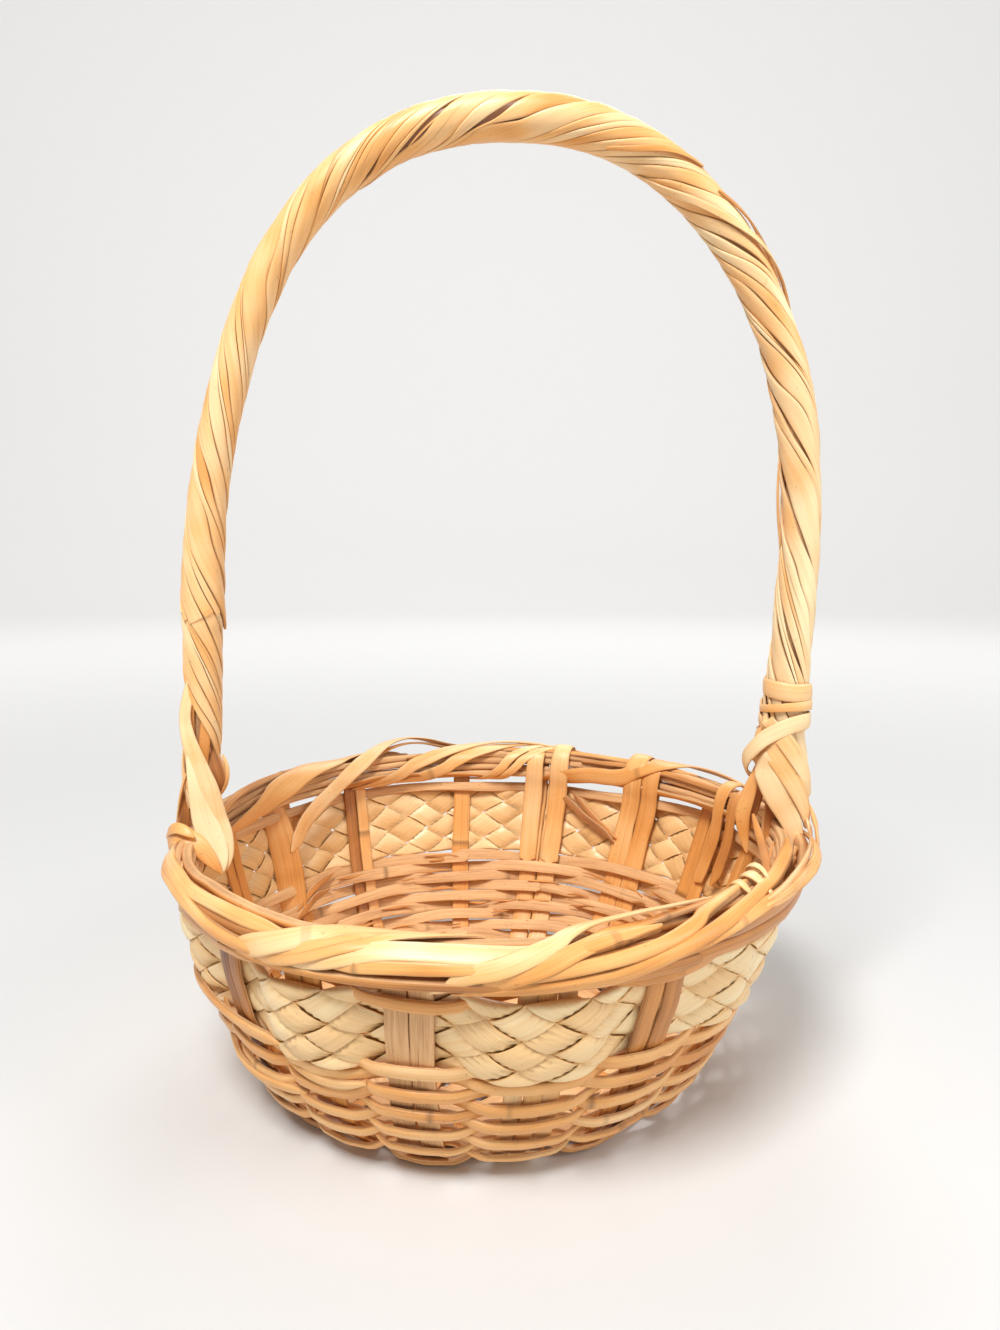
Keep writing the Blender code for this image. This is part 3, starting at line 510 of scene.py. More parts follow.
def layStakes():
    look = stakeLook
    splints = []
    for index, (degrees, count, width) in enumerate(stakes):
        angle, width = math.radians(degrees), width * mm
        tones, skinSide = look["tones"][degrees]
        for strip in range(count):
            seed = index * 4 + strip + 1
            top = look["top"] + look["topStep"] * (seed % 4)
            along = np.arange(-look["tuck"], top, look["step"])
            total = stakeWidth(along, count * width * look["wider"].get(degrees, 1.0))
            across = total * ((strip + 0.5) / count - 0.5) + drift(along, *look["sway"], seed)
            lift = look["proud"] * (strip % 2) + drift(along, *look["wave"], seed + 50)
            lift += look["lifted"].get(degrees, 0.0) * mm \
                * np.exp(-((along - bowl["plaitMiddle"]) / look["liftedHalf"]) ** 4)
            points = stakeSpot(angle, across, along, lift)
            outward = wallOutward(angle, along) * skinSide
            knot = look["knots"].get((degrees, strip))
            splints.append(splint(points, outward, total / count * look["filled"],
                                  look["thick"], tones[strip], seed, bow=look["bow"],
                                  knots=((knot, 1.0),) if knot else ()))
    layPiece("stakes", splints, finishes["honey cane"], {"Points Round": 20},
             [f"stake_{k + 1:02d}" for k in range(len(stakes))])


# Weavers: a line that lies flat on each stake and eases over to the next one's other side
weaverLook = {
    "thick": 2.0 * mm, "high": 5.3 * mm, "upperHigh": 4.6 * mm, "seat": 0.45 * mm,
    "bulge": 0.5 * mm, "stakeIn": 0.8 * mm, "stakeOut": 1.2 * mm, "stakeRoom": 0.8 * mm,
    "footThicker": 1.15, "footHigher": 1.12, "around": 0.11, "step": 0.022,
    "tones": (0.48, 0.66), "footTone": 0.56, "upperTone": 0.46,
    # how much a row wanders up and down, in tone and in width, and over what length
    "wander": (0.75 * mm, 150 * mm), "toneWander": (0.07, 150 * mm), "wideWander": (0.06, 70 * mm),
    # the ends lie over each other, pared thin: how far on they run in radians, the length
    # of the paring, and over what length and how far they move aside
    "lap": 0.035, "pared": 14 * mm, "lapLength": 12 * mm, "lapAside": 0.38 * mm, "knots": 4,
    # angle, and how far the rows ride up the wall there, in mm
    "rise": ((-180, 2.0), (-150, 4.6), (-120, 5.0), (-101, 6.4), (-84, 4.8), (-55, 5.4),
             (-30, 5.2), (0, 2.6), (40, 1.0), (90, 0.6), (140, 0.8), (180, 2.0)),
    "upperRise": ((-180, 1.0), (-135, 2.8), (-121, 1.2), (-109, -0.4), (-97, -2.0),
                  (-88, -0.4), (-80, 2.0), (-60, 2.2), (-48, 3.6), (-30, 3.4), (0, 1.0),
                  (60, 0.0), (180, 1.0)),
}


def riseAt(table, angles):
    table = np.array(table, float)
    turn = (np.degrees(angles) + 180.0) % 360.0 - 180.0
    return np.interp(turn, table[:, 0], table[:, 1]) * mm


# The angle of each stake, and half the angle that it takes up at one height
def stakeSpans(along):
    radius = wallProfile(along, 0.0)[0]
    spans = []
    for degrees, count, width in stakes:
        half = stakeWidth(along, count * width * mm) / 2 + weaverLook["stakeRoom"]
        spans.append((math.radians(degrees), half / radius))
    return spans


# How far out a row runs, from the side on which it passes each stake
def wovenLine(along, sides, thick, bulge, start):
    look = weaverLook
    spans = stakeSpans(along)
    count = len(spans)
    places, depths = [], []
    for k in range(start, start + count + 1):
        angle, half = spans[k % count]
        angle += math.tau * (k // count)
        side = sides[k % count]
        depth = (look["stakeOut"] if side > 0 else look["stakeIn"]) + look["seat"] + thick / 2
        places += [angle - half, angle, angle + half]
        depths += [side * depth, side * (depth + bulge), side * depth]
    places, depths = places[1:-1], depths[1:-1]
    places[0] -= look["lap"]
    places[-1] += look["lap"]
    angles = np.arange(places[0], places[-1], look["step"])
    k = np.clip(np.searchsorted(places, angles, side="right") - 1, 0, len(places) - 2)
    places, depths = np.array(places), np.array(depths)
    share = smooth((angles - places[k]) / (places[k + 1] - places[k]))
    return angles, depths[k] + (depths[k + 1] - depths[k]) * share


def layRow(along, sides, thick, high, seed, tone, bulge, start, rise):
    look = weaverLook
    angles, outs = wovenLine(along, sides, thick, bulge, start)
    run = (angles - angles[0]) * look["around"]
    alongs = along + drift(run, *look["wander"], seed) + rise(angles)
    # the two ends are pared thin and lie over each other inside a stake
    end = np.minimum(run, run[-1] - run)
    thin = smooth(end / look["pared"])
    aside = np.where(run < run[-1] / 2, -1, 1) * look["lapAside"]
    outs = outs + aside * (1 - smooth(end / look["lapLength"]))
    points = wallSpot(angles, alongs, outs)
    outward = wallOutward(angles, np.full(len(angles), along))
    chance = np.random.RandomState(seed)
    knots = [(chance.uniform(0.03, 0.97), chance.uniform(0.5, 1.0))
             for _ in range(look["knots"])]
    toneLine = tone + drift(run, *look["toneWander"], seed + 9)
    width = high * (1 + drift(run, *look["wideWander"], seed + 4))
    return splint(points, outward, width, thick * (0.45 + 0.55 * thin), toneLine, seed,
                  knots=knots)


def layWeavers():
    look = weaverLook
    chance = np.random.RandomState(7)
    rows = []
    for row in range(bowl["rows"]):
        sides = [1 if (row + k) % 2 else -1 for k in range(len(stakes))]
        start = [k for k, side in enumerate(sides) if side < 0][(row * 3) % 8]
        along = bowl["rowFirst"] + row * bowl["rowPitch"]
        share = smooth((row + 0.4) / 1.6)       # the lowest row hardly rises

        def rise(angles, share=share):
            return share * riseAt(look["rise"], angles)
        rows.append(layRow(along, sides, look["thick"], look["high"], 100 + row,
                           chance.uniform(*look["tones"]), look["bulge"], start, rise))
    settings = {"Points Round": 18, "Edge Power": 0.92, "Skin Power": 0.85, "Back Power": 0.3,
                "Back Grain": 0.5 * mm}
    layPiece("weavers", rows, finishes["tan cane"], settings,
             [f"wall_weaver_{k + 1:02d}" for k in range(bowl["rows"])])
    sides = [1 if k % 2 == 0 else -1 for k in range(len(stakes))]
    foot = layRow(bowl["footRow"], sides, look["thick"] * look["footThicker"],
                  look["high"] * look["footHigher"], 140, look["footTone"], 0.0, 9,
                  lambda angles: 0.0)
    layPiece("footWeaver", [foot], finishes["tan cane"], settings, ["foot_weaver"])
    upper = layRow(bowl["upperRow"], [-side for side in sides], look["thick"],
                   look["upperHigh"], 141, look["upperTone"], look["bulge"], 10,
                   lambda angles: riseAt(look["upperRise"], angles))
    layPiece("upperWeaver", [upper], finishes["tan cane"], settings, ["upper_weaver"])


# Rim rods: two outside the stakes and two inside, rough split cane
rodLook = {
    "high": 6.1 * mm, "thick": 4.4 * mm, "outside": 4.15 * mm, "inside": -3.75 * mm,
    "lift": 3.35 * mm, "innerHigh": 0.52, "innerThick": 0.85, "tone": 0.30, "knots": 5,
    "around": 0.12, "step": 0.03, "lap": 0.22, "lapLength": 26 * mm, "lapAside": 1.1 * mm,
    # sizes and lengths of the slow wandering out, up, in width and in tone
    "out": (0.3 * mm, 120 * mm), "up": (0.3 * mm, 90 * mm), "uneven": (0.05, 60 * mm),
    "shade": (0.10, 160 * mm), "apart": (0.35 * mm, 70 * mm), "innerOut": (0.3 * mm, 80 * mm),
    # at the left foot, within so many degrees, the rods are pulled together and sag
    "pulled": 24.0, "pull": 3.8 * mm, "innerPull": -0.4, "sag": 3.5 * mm, "outerSag": 1.0 * mm,
    "section": {"Points Round": 20, "Edge Power": 0.85, "Skin Power": 0.7, "Back Power": 0.6,
                "Grain Depth": 0.4 * mm, "Back Grain": 0.6 * mm},
}


def layRod(level, sign, place):
    look = rodLook
    outer = place == "outer"
    seed = 200 + sign * 7 + (3 if outer else 11)
    angles = math.radians(seed * 7.0) + np.arange(0, math.tau + look["lap"], look["step"])
    run = (angles - angles[0]) * look["around"]
    end = np.minimum(run, run[-1] - run)
    thin = 0.5 + 0.5 * smooth(end / look["lapLength"])
    lap = np.where(run < run[-1] / 2, -1, 1) * look["lapAside"] \
        * (1 - smooth(end / look["lapLength"]))
    fromFoot = (np.degrees(angles) % 360.0) - 180.0
    pulled = np.exp(-(fromFoot / look["pulled"]) ** 2)
    outs = look["outside" if outer else "inside"] + drift(run, *look["out"], seed) + lap
    outs = outs - look["pull"] * pulled * (1.0 if outer else look["innerPull"])
    along = bowl["rimMiddle"] + sign * look["lift"] + drift(run, *look["up"], seed + 1)
    along = along - look["outerSag" if outer else "sag"] * pulled
    outward = wallOutward(angles, along)
    chance = np.random.RandomState(seed)
    knots = [(chance.uniform(0.05, 0.95), chance.uniform(0.6, 1.0))
             for _ in range(look["knots"])]
    tone = look["tone"] + drift(run, *look["shade"], seed + 2)
    rods = []
    if outer:
        high = look["high"] * (1 + drift(run, *look["uneven"], seed + 3))
        rods.append(splint(wallSpot(angles, along, outs), outward, high,
                           look["thick"] * thin, tone, seed, knots=knots))
    else:       # inside it is two thin rough rods
        for half in (-1, 1):
            aside = half * look["high"] / 4 + drift(run, *look["apart"], seed + half)
            away = outs + drift(run, *look["innerOut"], seed + 5 * half)
            rods.append(splint(wallSpot(angles, along + aside, away), outward,
                               look["high"] * look["innerHigh"],
                               look["thick"] * look["innerThick"] * thin, tone, seed + half))
    layPiece(f"rimRod{place.capitalize()}{level.capitalize()}", rods,
             finishes["tan cane" if outer else "rough cane"], look["section"],
             [f"rim_rod_{place}_{level}"])


def layRods():
    for level, sign in (("low", -1), ("high", 1)):
        for place in ("outer", "inner"):
            layRod(level, sign, place)


# Strips and thin rods lashed round the rim. Each has a name, width and thickness in mm, tone,
# and its spots: angle, way round the rim's section, and how far it stands off it in mm
lashLook = {
    "step": 1.6 * mm, "taper": 16.0 * mm, "bow": 55.0, "rodThick": 2.0,
    "uneven": (0.06, 50 * mm), "shade": (0.07, 60 * mm),
    "even": (0.002, 0.05, 0.001),    # metres for one degree, one turn and one mm of a spot
    "front": (
        ("rod on the left", 5.0, 3.2, 0.62, (
            (-178, 0.68, -4.6), (-172, 0.62, -4.2), (-165, 0.58, -2.8), (-158, 0.55, -1.4),
            (-152, 0.535, 0), (-143, 0.545, 0), (-135, 0.535, 0), (-128, 0.54, -0.1),
            (-123, 0.545, -1.0), (-117, 0.56, -3.0))),
        ("thin rod under it", 4.4, 2.8, 0.56, (
            (-176, 0.76, -4.2), (-169, 0.70, -3.4), (-162, 0.65, -2.0), (-150, 0.60, -0.2),
            (-140, 0.645, -0.1), (-134, 0.695, 0), (-130, 0.72, 0), (-126, 0.735, -0.2),
            (-121, 0.76, -0.6))),
        ("rod under the pale one", 4.6, 3.0, 0.50, (
            (-114, 0.71, -0.8), (-107, 0.685, -0.3), (-100, 0.665, -0.2), (-94, 0.655, -0.2),
            (-89, 0.64, -0.2), (-84, 0.615, -0.2), (-78, 0.57, -0.6))),
        ("pale straight", 6.8, 1.3, 0.82, (
            (-119, 0.79, -0.4), (-115, 0.72, 0.2), (-110.5, 0.65, 0.6), (-106, 0.585, 0.8),
            (-101.5, 0.555, 0.9), (-96, 0.55, 0.9), (-90.5, 0.56, 0.9), (-85, 0.57, 0.7),
            (-80, 0.555, 0.4), (-75, 0.54, 0.0))),
        ("pale second", 6.6, 1.2, 0.60, (
            (-130, 0.83, -0.4), (-124, 0.755, 0.3), (-119.5, 0.72, 0.7), (-115, 0.66, 1.1),
            (-111.5, 0.60, 1.4), (-108, 0.54, 1.5), (-103.5, 0.475, 1.3), (-98, 0.42, 1.0),
            (-92, 0.35, 0.7), (-86, 0.26, 0.4))),
        ("pale over the left", 7.4, 1.2, 0.68, (
            (-133, 0.90, -3.0), (-129.5, 0.82, -1.6), (-126, 0.745, -0.2), (-121.5, 0.665, 0.9),
            (-117.5, 0.59, 1.2), (-114, 0.52, 1.3), (-109.5, 0.465, 1.2), (-105, 0.42, 1.0),
            (-99, 0.36, 0.7), (-93, 0.28, 0.4), (-87, 0.18, 0.2))),
        ("rod to the knot", 4.8, 3.6, 0.54, (
            (-90, 0.73, -0.8), (-80.5, 0.69, -0.2), (-73.5, 0.66, 0), (-65.5, 0.605, 0.2),
            (-59.5, 0.54, 0.6), (-53, 0.46, 0.9), (-46, 0.40, 1.2), (-40, 0.35, 1.3),
            (-35, 0.30, 1.0), (-31, 0.25, 0.2))),
        ("rod to the foot", 5.0, 3.6, 0.48, (
            (-92, 0.81, -0.8), (-78.5, 0.765, -0.2), (-70.5, 0.745, 0), (-63.5, 0.68, 0.2),
            (-56, 0.60, 0.5), (-48.5, 0.53, 0.8), (-42, 0.50, 1.0), (-36, 0.485, 1.2),
            (-28, 0.46, 1.4), (-21, 0.45, 1.2), (-14, 0.44, 0.4))),
        ("outer loop right", 4.8, 1.6, 0.50, (
            (-74, 0.75, -0.6), (-63, 0.68, 0.2), (-55.5, 0.63, 0.6), (-45.5, 0.575, 0.9),
            (-38, 0.57, 1.1), (-33, 0.58, 1.4), (-25, 0.60, 2.2), (-15, 0.61, 2.6),
            (-8, 0.62, 1.6), (-2, 0.62, 0.2))),
        ("diagonal two", 6.0, 1.2, 0.52, (
            (-94, 0.88, -0.4), (-90, 0.78, 0.3), (-86, 0.715, 0.9), (-82, 0.655, 1.3),
            (-77.5, 0.57, 1.6), (-72.5, 0.50, 1.6), (-68, 0.46, 1.3), (-63, 0.42, 1.0),
            (-57, 0.37, 0.6), (-52, 0.31, 0.2))),
        ("diagonal one", 6.2, 1.2, 0.68, (
            (-97, 0.84, -0.3), (-92, 0.70, 0.6), (-88, 0.655, 1.2), (-84, 0.585, 1.6),
            (-79.5, 0.505, 2.2), (-74.5, 0.43, 3.0), (-70, 0.41, 3.6), (-64.5, 0.40, 3.9),
            (-56.5, 0.385, 3.3), (-51, 0.36, 2.3), (-46, 0.31, 1.2), (-42, 0.24, 0.4))),
    ),
    "back": (
        ("orange left", 11.0, 1.2, 0.60, (
            (177, 0.0, 0.2), (169, 0.09, 0.8), (161.5, 0.15, 0.8), (154, 0.235, 0.8),
            (146.5, 0.30, 0.9), (138, 0.42, 1.0), (129, 0.50, 1.2), (122.5, 0.55, 1.8),
            (116, 0.62, 1.2), (108, 0.76, 0.3))),
        ("broad middle high", 6.8, 1.2, 0.72, (
            (126, 0.02, 0), (118, 0.12, 0.6), (112, 0.24, 1.0), (106, 0.32, 1.3), (99, 0.43, 1.9),
            (92.5, 0.495, 3.4), (85.5, 0.50, 4.4), (79, 0.505, 3.8), (74, 0.52, 2.2),
            (69, 0.60, 1.0), (64, 0.72, 0.2))),
        ("broad middle low", 6.6, 1.2, 0.66, (
            (115, 0.03, 0), (107, 0.15, 0.6), (100.5, 0.25, 1.0), (93, 0.38, 1.4),
            (86.5, 0.48, 2.4), (80.5, 0.505, 3.2), (74.5, 0.53, 2.2), (69, 0.62, 0.8))),
        ("narrow left", 4.6, 1.1, 0.74, (
            (96, 0.0, 0.4), (91.5, 0.07, 0.9), (86.5, 0.235, 1.1), (82, 0.39, 1.5),
            (77.5, 0.49, 2.8), (73, 0.52, 2.8), (69, 0.58, 1.4), (65, 0.70, 0.4))),
        ("narrow right", 4.2, 1.1, 0.70, (
            (92, 0.0, 0.4), (87.5, 0.07, 0.9), (83.5, 0.22, 1.1), (79, 0.35, 1.4),
            (75, 0.46, 2.0), (71, 0.52, 1.8), (66, 0.62, 0.6))),
        ("orange right", 8.5, 1.2, 0.50, (
            (78, 0.06, 0), (70, 0.14, 0.6), (64, 0.20, 1.0), (56, 0.22, 1.3), (51, 0.27, 1.5),
            (47, 0.35, 1.8), (43, 0.44, 2.4), (39.5, 0.50, 3.0), (32.5, 0.53, 3.4),
            (26, 0.54, 2.8), (20, 0.57, 1.4), (13, 0.68, 0.3))),
    ),
    "round": (
        ("knot on the right", 4.8, 1.1, 0.74, (
            (-32.5, 0.12, 0.4), (-34, 0.19, 1.8), (-35.5, 0.27, 3.2), (-37.2, 0.36, 3.9),
            (-38.8, 0.44, 3.0), (-40, 0.52, 1.4), (-40.6, 0.60, 0.4))),
        ("knot's second turn", 4.4, 1.1, 0.66, (
            (-36.5, 0.12, 0.3), (-38, 0.19, 1.6), (-39.8, 0.27, 3.0), (-41.6, 0.36, 3.5),
            (-43, 0.44, 2.4), (-44, 0.52, 0.8))),
        ("knot's end", 3.6, 1.0, 0.84, (
            (-38, 0.50, 1.6), (-36.2, 0.44, 4.2), (-35, 0.38, 5.4), (-33.6, 0.33, 5.0),
            (-32.4, 0.27, 3.4), (-31.6, 0.21, 1.6))),
        ("rolled end", 5.0, 3.2, 0.46, (
            (-87, 0.61, -2.4), (-81, 0.58, -0.8), (-76, 0.55, 0.8), (-72, 0.525, 1.4),
            (-68, 0.51, 1.7), (-64, 0.505, 1.6))),
    ),
    "rough": (
        ("top rod left", 3.6, 2.2, 0.30, (
            (178, 0.28, 0.0), (168, 0.37, 0.4), (160, 0.42, 0.6), (152, 0.45, 0.8),
            (144, 0.49, 0.8), (136, 0.53, 0.9), (128, 0.56, 0.7), (120, 0.58, 0.5),
            (110, 0.60, 0.2))),
        ("thin rod low left", 2.8, 1.8, 0.30, (
            (136, 0.10, 0.0), (127, 0.16, 0.2), (118, 0.19, 0.3), (108, 0.17, 0.3),
            (98, 0.14, 0.2), (88, 0.10, 0.0))),
        ("thin rod top middle", 3.0, 1.9, 0.34, (
            (112, 0.34, 0.0), (102, 0.40, 0.4), (90, 0.44, 0.7), (76, 0.43, 0.9), (64, 0.41, 0.9),
            (54, 0.40, 0.7), (44, 0.42, 0.4), (34, 0.44, 0.1))),
        ("thin rod right", 2.8, 1.8, 0.30, (
            (66, 0.31, 0.0), (56, 0.33, 0.4), (44, 0.34, 0.5), (32, 0.33, 0.5), (20, 0.35, 0.5),
            (10, 0.40, 0.3), (2, 0.46, 0.0))),
        ("thin rod low right", 2.6, 1.8, 0.30, (
            (58, 0.17, 0.0), (48, 0.15, 0.3), (36, 0.16, 0.4), (24, 0.19, 0.4), (12, 0.22, 0.2),
            (0, 0.26, 0.0))),
        ("scarred one in front", 3.6, 2.2, 0.34, (
            (-132, 0.77, -0.6), (-124, 0.79, -0.2), (-114, 0.775, 0.0), (-104, 0.765, 0.1),
            (-94, 0.76, 0.1), (-84, 0.765, 0.0), (-76, 0.79, -0.4))),
        ("rough end right", 3.4, 2.0, 0.36, (
            (-70, 0.47, 0.6), (-64, 0.45, 1.4), (-58, 0.44, 2.0), (-52, 0.42, 2.0),
            (-46, 0.38, 1.4))),
    ),
}


def taperEnds(width, run, length):
    return width * (0.35 + 0.65 * smooth(np.minimum(run, run[-1] - run) / length))


def rimStrip(entry, seed):
    look = lashLook
    _, width, thick, tone, spots = entry
    even = np.array(look["even"])
    steps = smoothLine(np.array(spots, float) * even, look["step"]) / even
    points, outward = rimSpot(steps[:, 0], steps[:, 1], steps[:, 2] * mm)
    run = runOf(points)
    chance = np.random.RandomState(seed)
    knots = [(chance.uniform(0.15, 0.85), 0.8)] if seed % 3 == 0 else ()
    width = taperEnds(width * mm * (1 + drift(run, *look["uneven"], seed)), run, look["taper"])
    return splint(points, outward, width, thick * mm, tone + drift(run, *look["shade"], seed + 5),
                  seed, bow=look["bow"] if thick < look["rodThick"] else 0.0, knots=knots)


def layLashings():
    for name, key, nodes, finish in (
            ("rimLashingFront", "front", ["rim_lashing_front"], "handle cane"),
            ("rimLashingBack", "back", ["rim_lashing_back"], "handle cane"),
            ("rimEnds", "round", [], "handle cane"), ("rimThinRods", "rough", [], "rough cane")):
        first = 300 + 40 * len(nodes)
        strips = [rimStrip(entry, first + k) for k, entry in enumerate(lashLook[key])]
        layPiece(name, strips, finishes[finish], stripSection, nodes)


# Strips that lie free in the bowl: tops of stakes folded over the rim, loose rough strips and
# the arch over the back. Each has width and thickness in mm, tone, and its spots: angle,
# length up the wall and distance out, in mm
looseLook = {
    "bow": 20.0, "taper": 8 * mm, "broad": 7.9, "broadTaper": 0.6 * mm, "insideRim": 2 * mm,
    "uneven": (0.05, 40 * mm), "shade": (0.06, 50 * mm),
    "even": (0.002, 0.001, 0.001),   # metres for one degree and one mm of a spot
    # splinters on the rough inner faces: lowest and highest of each, in degrees and mm
    "splinters": {"count": 60, "angle": (20, 200), "along": (14, 56), "reach": (4, 11),
                  "tilt": (-2.2, 2.2), "in": (2.6, 3.6), "wide": (0.9, 2.4),
                  "thick": 0.7, "tone": 0.3, "bend": 0.4, "stand": 0.9},
    "smooth": (
        # stake tops folded over the back of the rim
        (9.4, 1.2, 0.64, (
            (72.0, 53, -1.3), (71.9, 63, -1.5), (71.8, 76, -2.1), (71.7, 85, -3.2),
            (71.6, 92, -5.0), (71.5, 98, -7.8), (71.5, 104, -9.0), (71.5, 109.5, -8.2),
            (71.5, 113.4, -4.4), (71.5, 114.2, 0), (71.5, 112.4, 4.8), (71.5, 108, 8.4))),
        (9.2, 1.2, 0.68, (
            (78.2, 53, -1.3), (78.3, 63, -1.5), (78.3, 76, -2.1), (78.3, 85, -3.2),
            (78.2, 92, -5.0), (78.1, 98, -7.6), (78.1, 104, -8.8), (78.1, 108.5, -8.0),
            (78.1, 111.6, -5.0))),
        (10.4, 1.2, 0.56, (
            (52.7, 53, -1.3), (52.4, 63, -1.5), (52.1, 76, -2.1), (51.6, 85, -3.2),
            (51.2, 92, -5.0), (50.9, 98, -7.8), (50.8, 104, -9.0), (50.8, 109.5, -8.2),
            (50.8, 113.4, -4.4), (50.8, 114.2, 0), (50.8, 112, 4.6))),
        (10.0, 1.2, 0.48, (
            (47.4, 53, -1.3), (47.2, 63, -1.5), (46.9, 76, -2.1), (46.4, 85, -3.2),
            (46.0, 92, -5.0), (45.7, 98, -7.6), (45.6, 104, -8.8), (45.6, 109, -8.0),
            (45.6, 112.6, -4.4), (45.6, 113.2, -0.5))),
        (8.0, 1.2, 0.48, (
            (25.5, 64, -2.2), (24, 74, -3.2), (22.6, 84, -4.8), (22, 92, -6.4), (21.6, 99, -8.4),
            (21.6, 105, -9.0), (21.8, 110, -7.8), (22, 113, -4.0), (22.2, 113, 0))),
        (7.6, 1.2, 0.34, (
            (19.5, 66, -2.2), (18.2, 76, -3.4), (17, 86, -5.0), (16.4, 93, -6.6),
            (16.2, 99, -8.2), (16.4, 105, -8.8), (16.8, 109.5, -7.6), (17.2, 112.2, -4.0))),
        # the arch over the back left of the rim
        (7.6, 1.1, 0.74, (
            (148, 74, -5.0), (145, 80, -5.8), (142.5, 86, -6.8), (138, 92.5, -8.4),
            (132.5, 99.3, -9.8), (126.5, 106.5, -9.4), (121, 112.5, -6.2), (116, 117.0, -2.0),
            (111, 118.6, 0.5), (106, 117.2, 2.0), (101, 113.6, 4.4), (96, 110.0, 7.4),
            (91, 105, 9.4))),
        # two weaver ends that stand out at the left
        (5.0, 2.3, 0.52, (
            (-126, 60, 2.2), (-132, 61.5, 3.6), (-140, 63, 4.6), (-148, 64.5, 5.4),
            (-155, 65, 5.8), (-162, 64, 5.0), (-169, 63, 3.2), (-175, 62, 1.2))),
        (4.8, 2.3, 0.56, (
            (-124, 38, 1.4), (-131, 37, 3.2), (-138, 36.5, 4.4), (-145, 37, 4.4), (-152, 38, 2.8),
            (-158, 38.5, 1.0))),
        # a narrow strip beside the arch
        (3.0, 1.0, 0.40, (
            (124, 108, -8.2), (118, 112.8, -4.4), (112, 115.6, -1.2), (107, 115.4, 1.0),
            (102, 113.0, 3.4), (97, 110.4, 6.4))),
    ),
    "rough": (
        (3.4, 1.2, 0.20, (
            (72, 92, -3.6), (69, 86.5, -3.6), (63.5, 79, -3.8), (57, 72.5, -3.6),
            (54, 69, -3.4))),
        (3.0, 1.2, 0.22, (
            (68, 91, -3.2), (65, 85.5, -3.2), (60, 78, -3.4), (53.5, 71.0, -3.2))),
        (4.4, 1.5, 0.62, (
            (-125, 53, 2.6), (-121, 51.6, 3.6), (-117, 51.2, 4.0), (-113, 52, 3.8),
            (-109, 53.4, 2.4))),
        (3.2, 1.2, 0.30, (
            (150, 46, -3.4), (146, 50, -3.8), (141, 54, -3.6), (135, 57, -3.0))),
        (3.0, 1.2, 0.30, (
            (152, 42, -3.2), (147, 45, -3.6), (142, 49, -3.4), (137, 50, -2.8))),
    ),
}


def bowlStrip(entry, seed):
    look = looseLook
    width, thick, tone, spots = entry
    even = np.array(look["even"])
    steps = smoothLine(np.array(spots, float) * even, lashLook["step"]) / even
    angle, along, away = np.radians(steps[:, 0]), steps[:, 1] * mm, steps[:, 2] * mm
    points = wallSpot(angle, along, away)
    # its smooth side faces away from the wall, or from a place inside the rim above that
    level = np.minimum(along, bowl["rimMiddle"] - look["insideRim"])
    middle = wallSpot(angle, level, np.zeros(len(away)))
    run = runOf(points)
    taper = look["taper"] if width < look["broad"] else look["broadTaper"]
    width = taperEnds(width * mm * (1 + drift(run, *look["uneven"], seed)), run, taper)
    return splint(points, points - middle, width, thick * mm,
                  tone + drift(run, *look["shade"], seed), seed, bow=look["bow"])


# Thin splinters that stand off the rough inner faces of the rows
def splinters(seed):
    look = looseLook["splinters"]
    chance = np.random.RandomState(seed)
    strips = []
    for k in range(look["count"]):
        angle, along, reach, tilt, inside = [
            chance.uniform(*look[key]) for key in ("angle", "along", "reach", "tilt", "in")]
        spots = [(angle + reach * (s - 0.5),
                  along + tilt * (s - 0.5) + look["bend"] * math.sin(5 * s + k),
                  -inside - look["stand"] * abs(s - 0.35)) for s in (0.0, 0.3, 0.6, 1.0)]
        entry = (chance.uniform(*look["wide"]), look["thick"], look["tone"], spots)
        strips.append(bowlStrip(entry, seed + k))
    return strips


def layLoose():
    settings = {**stripSection, "Points Round": 16}
    for name, key, finish in (("foldedTops", "smooth", "honey cane"),
                              ("roughStrips", "rough", "rough cane")):
        strips = [bowlStrip(entry, 520 + k) for k, entry in enumerate(looseLook[key])]
        if key == "rough":
            strips += splinters(560)
        layPiece(name, strips, finishes[finish], settings, [])


# The handle's middle line, the same arch as the solid core
arch = {
    "inset": 4.0 * mm, "legHeight": 93.0 * mm, "rise": 180.0 * mm, "power": 2.25,
    "crownShift": -5.0 * mm, "crownShare": 0.39, "legBlend": 35.0 * mm, "footTop": 102.46 * mm,
    "footBottom": 84.99 * mm, "leftOut": -8.0 * mm,
}


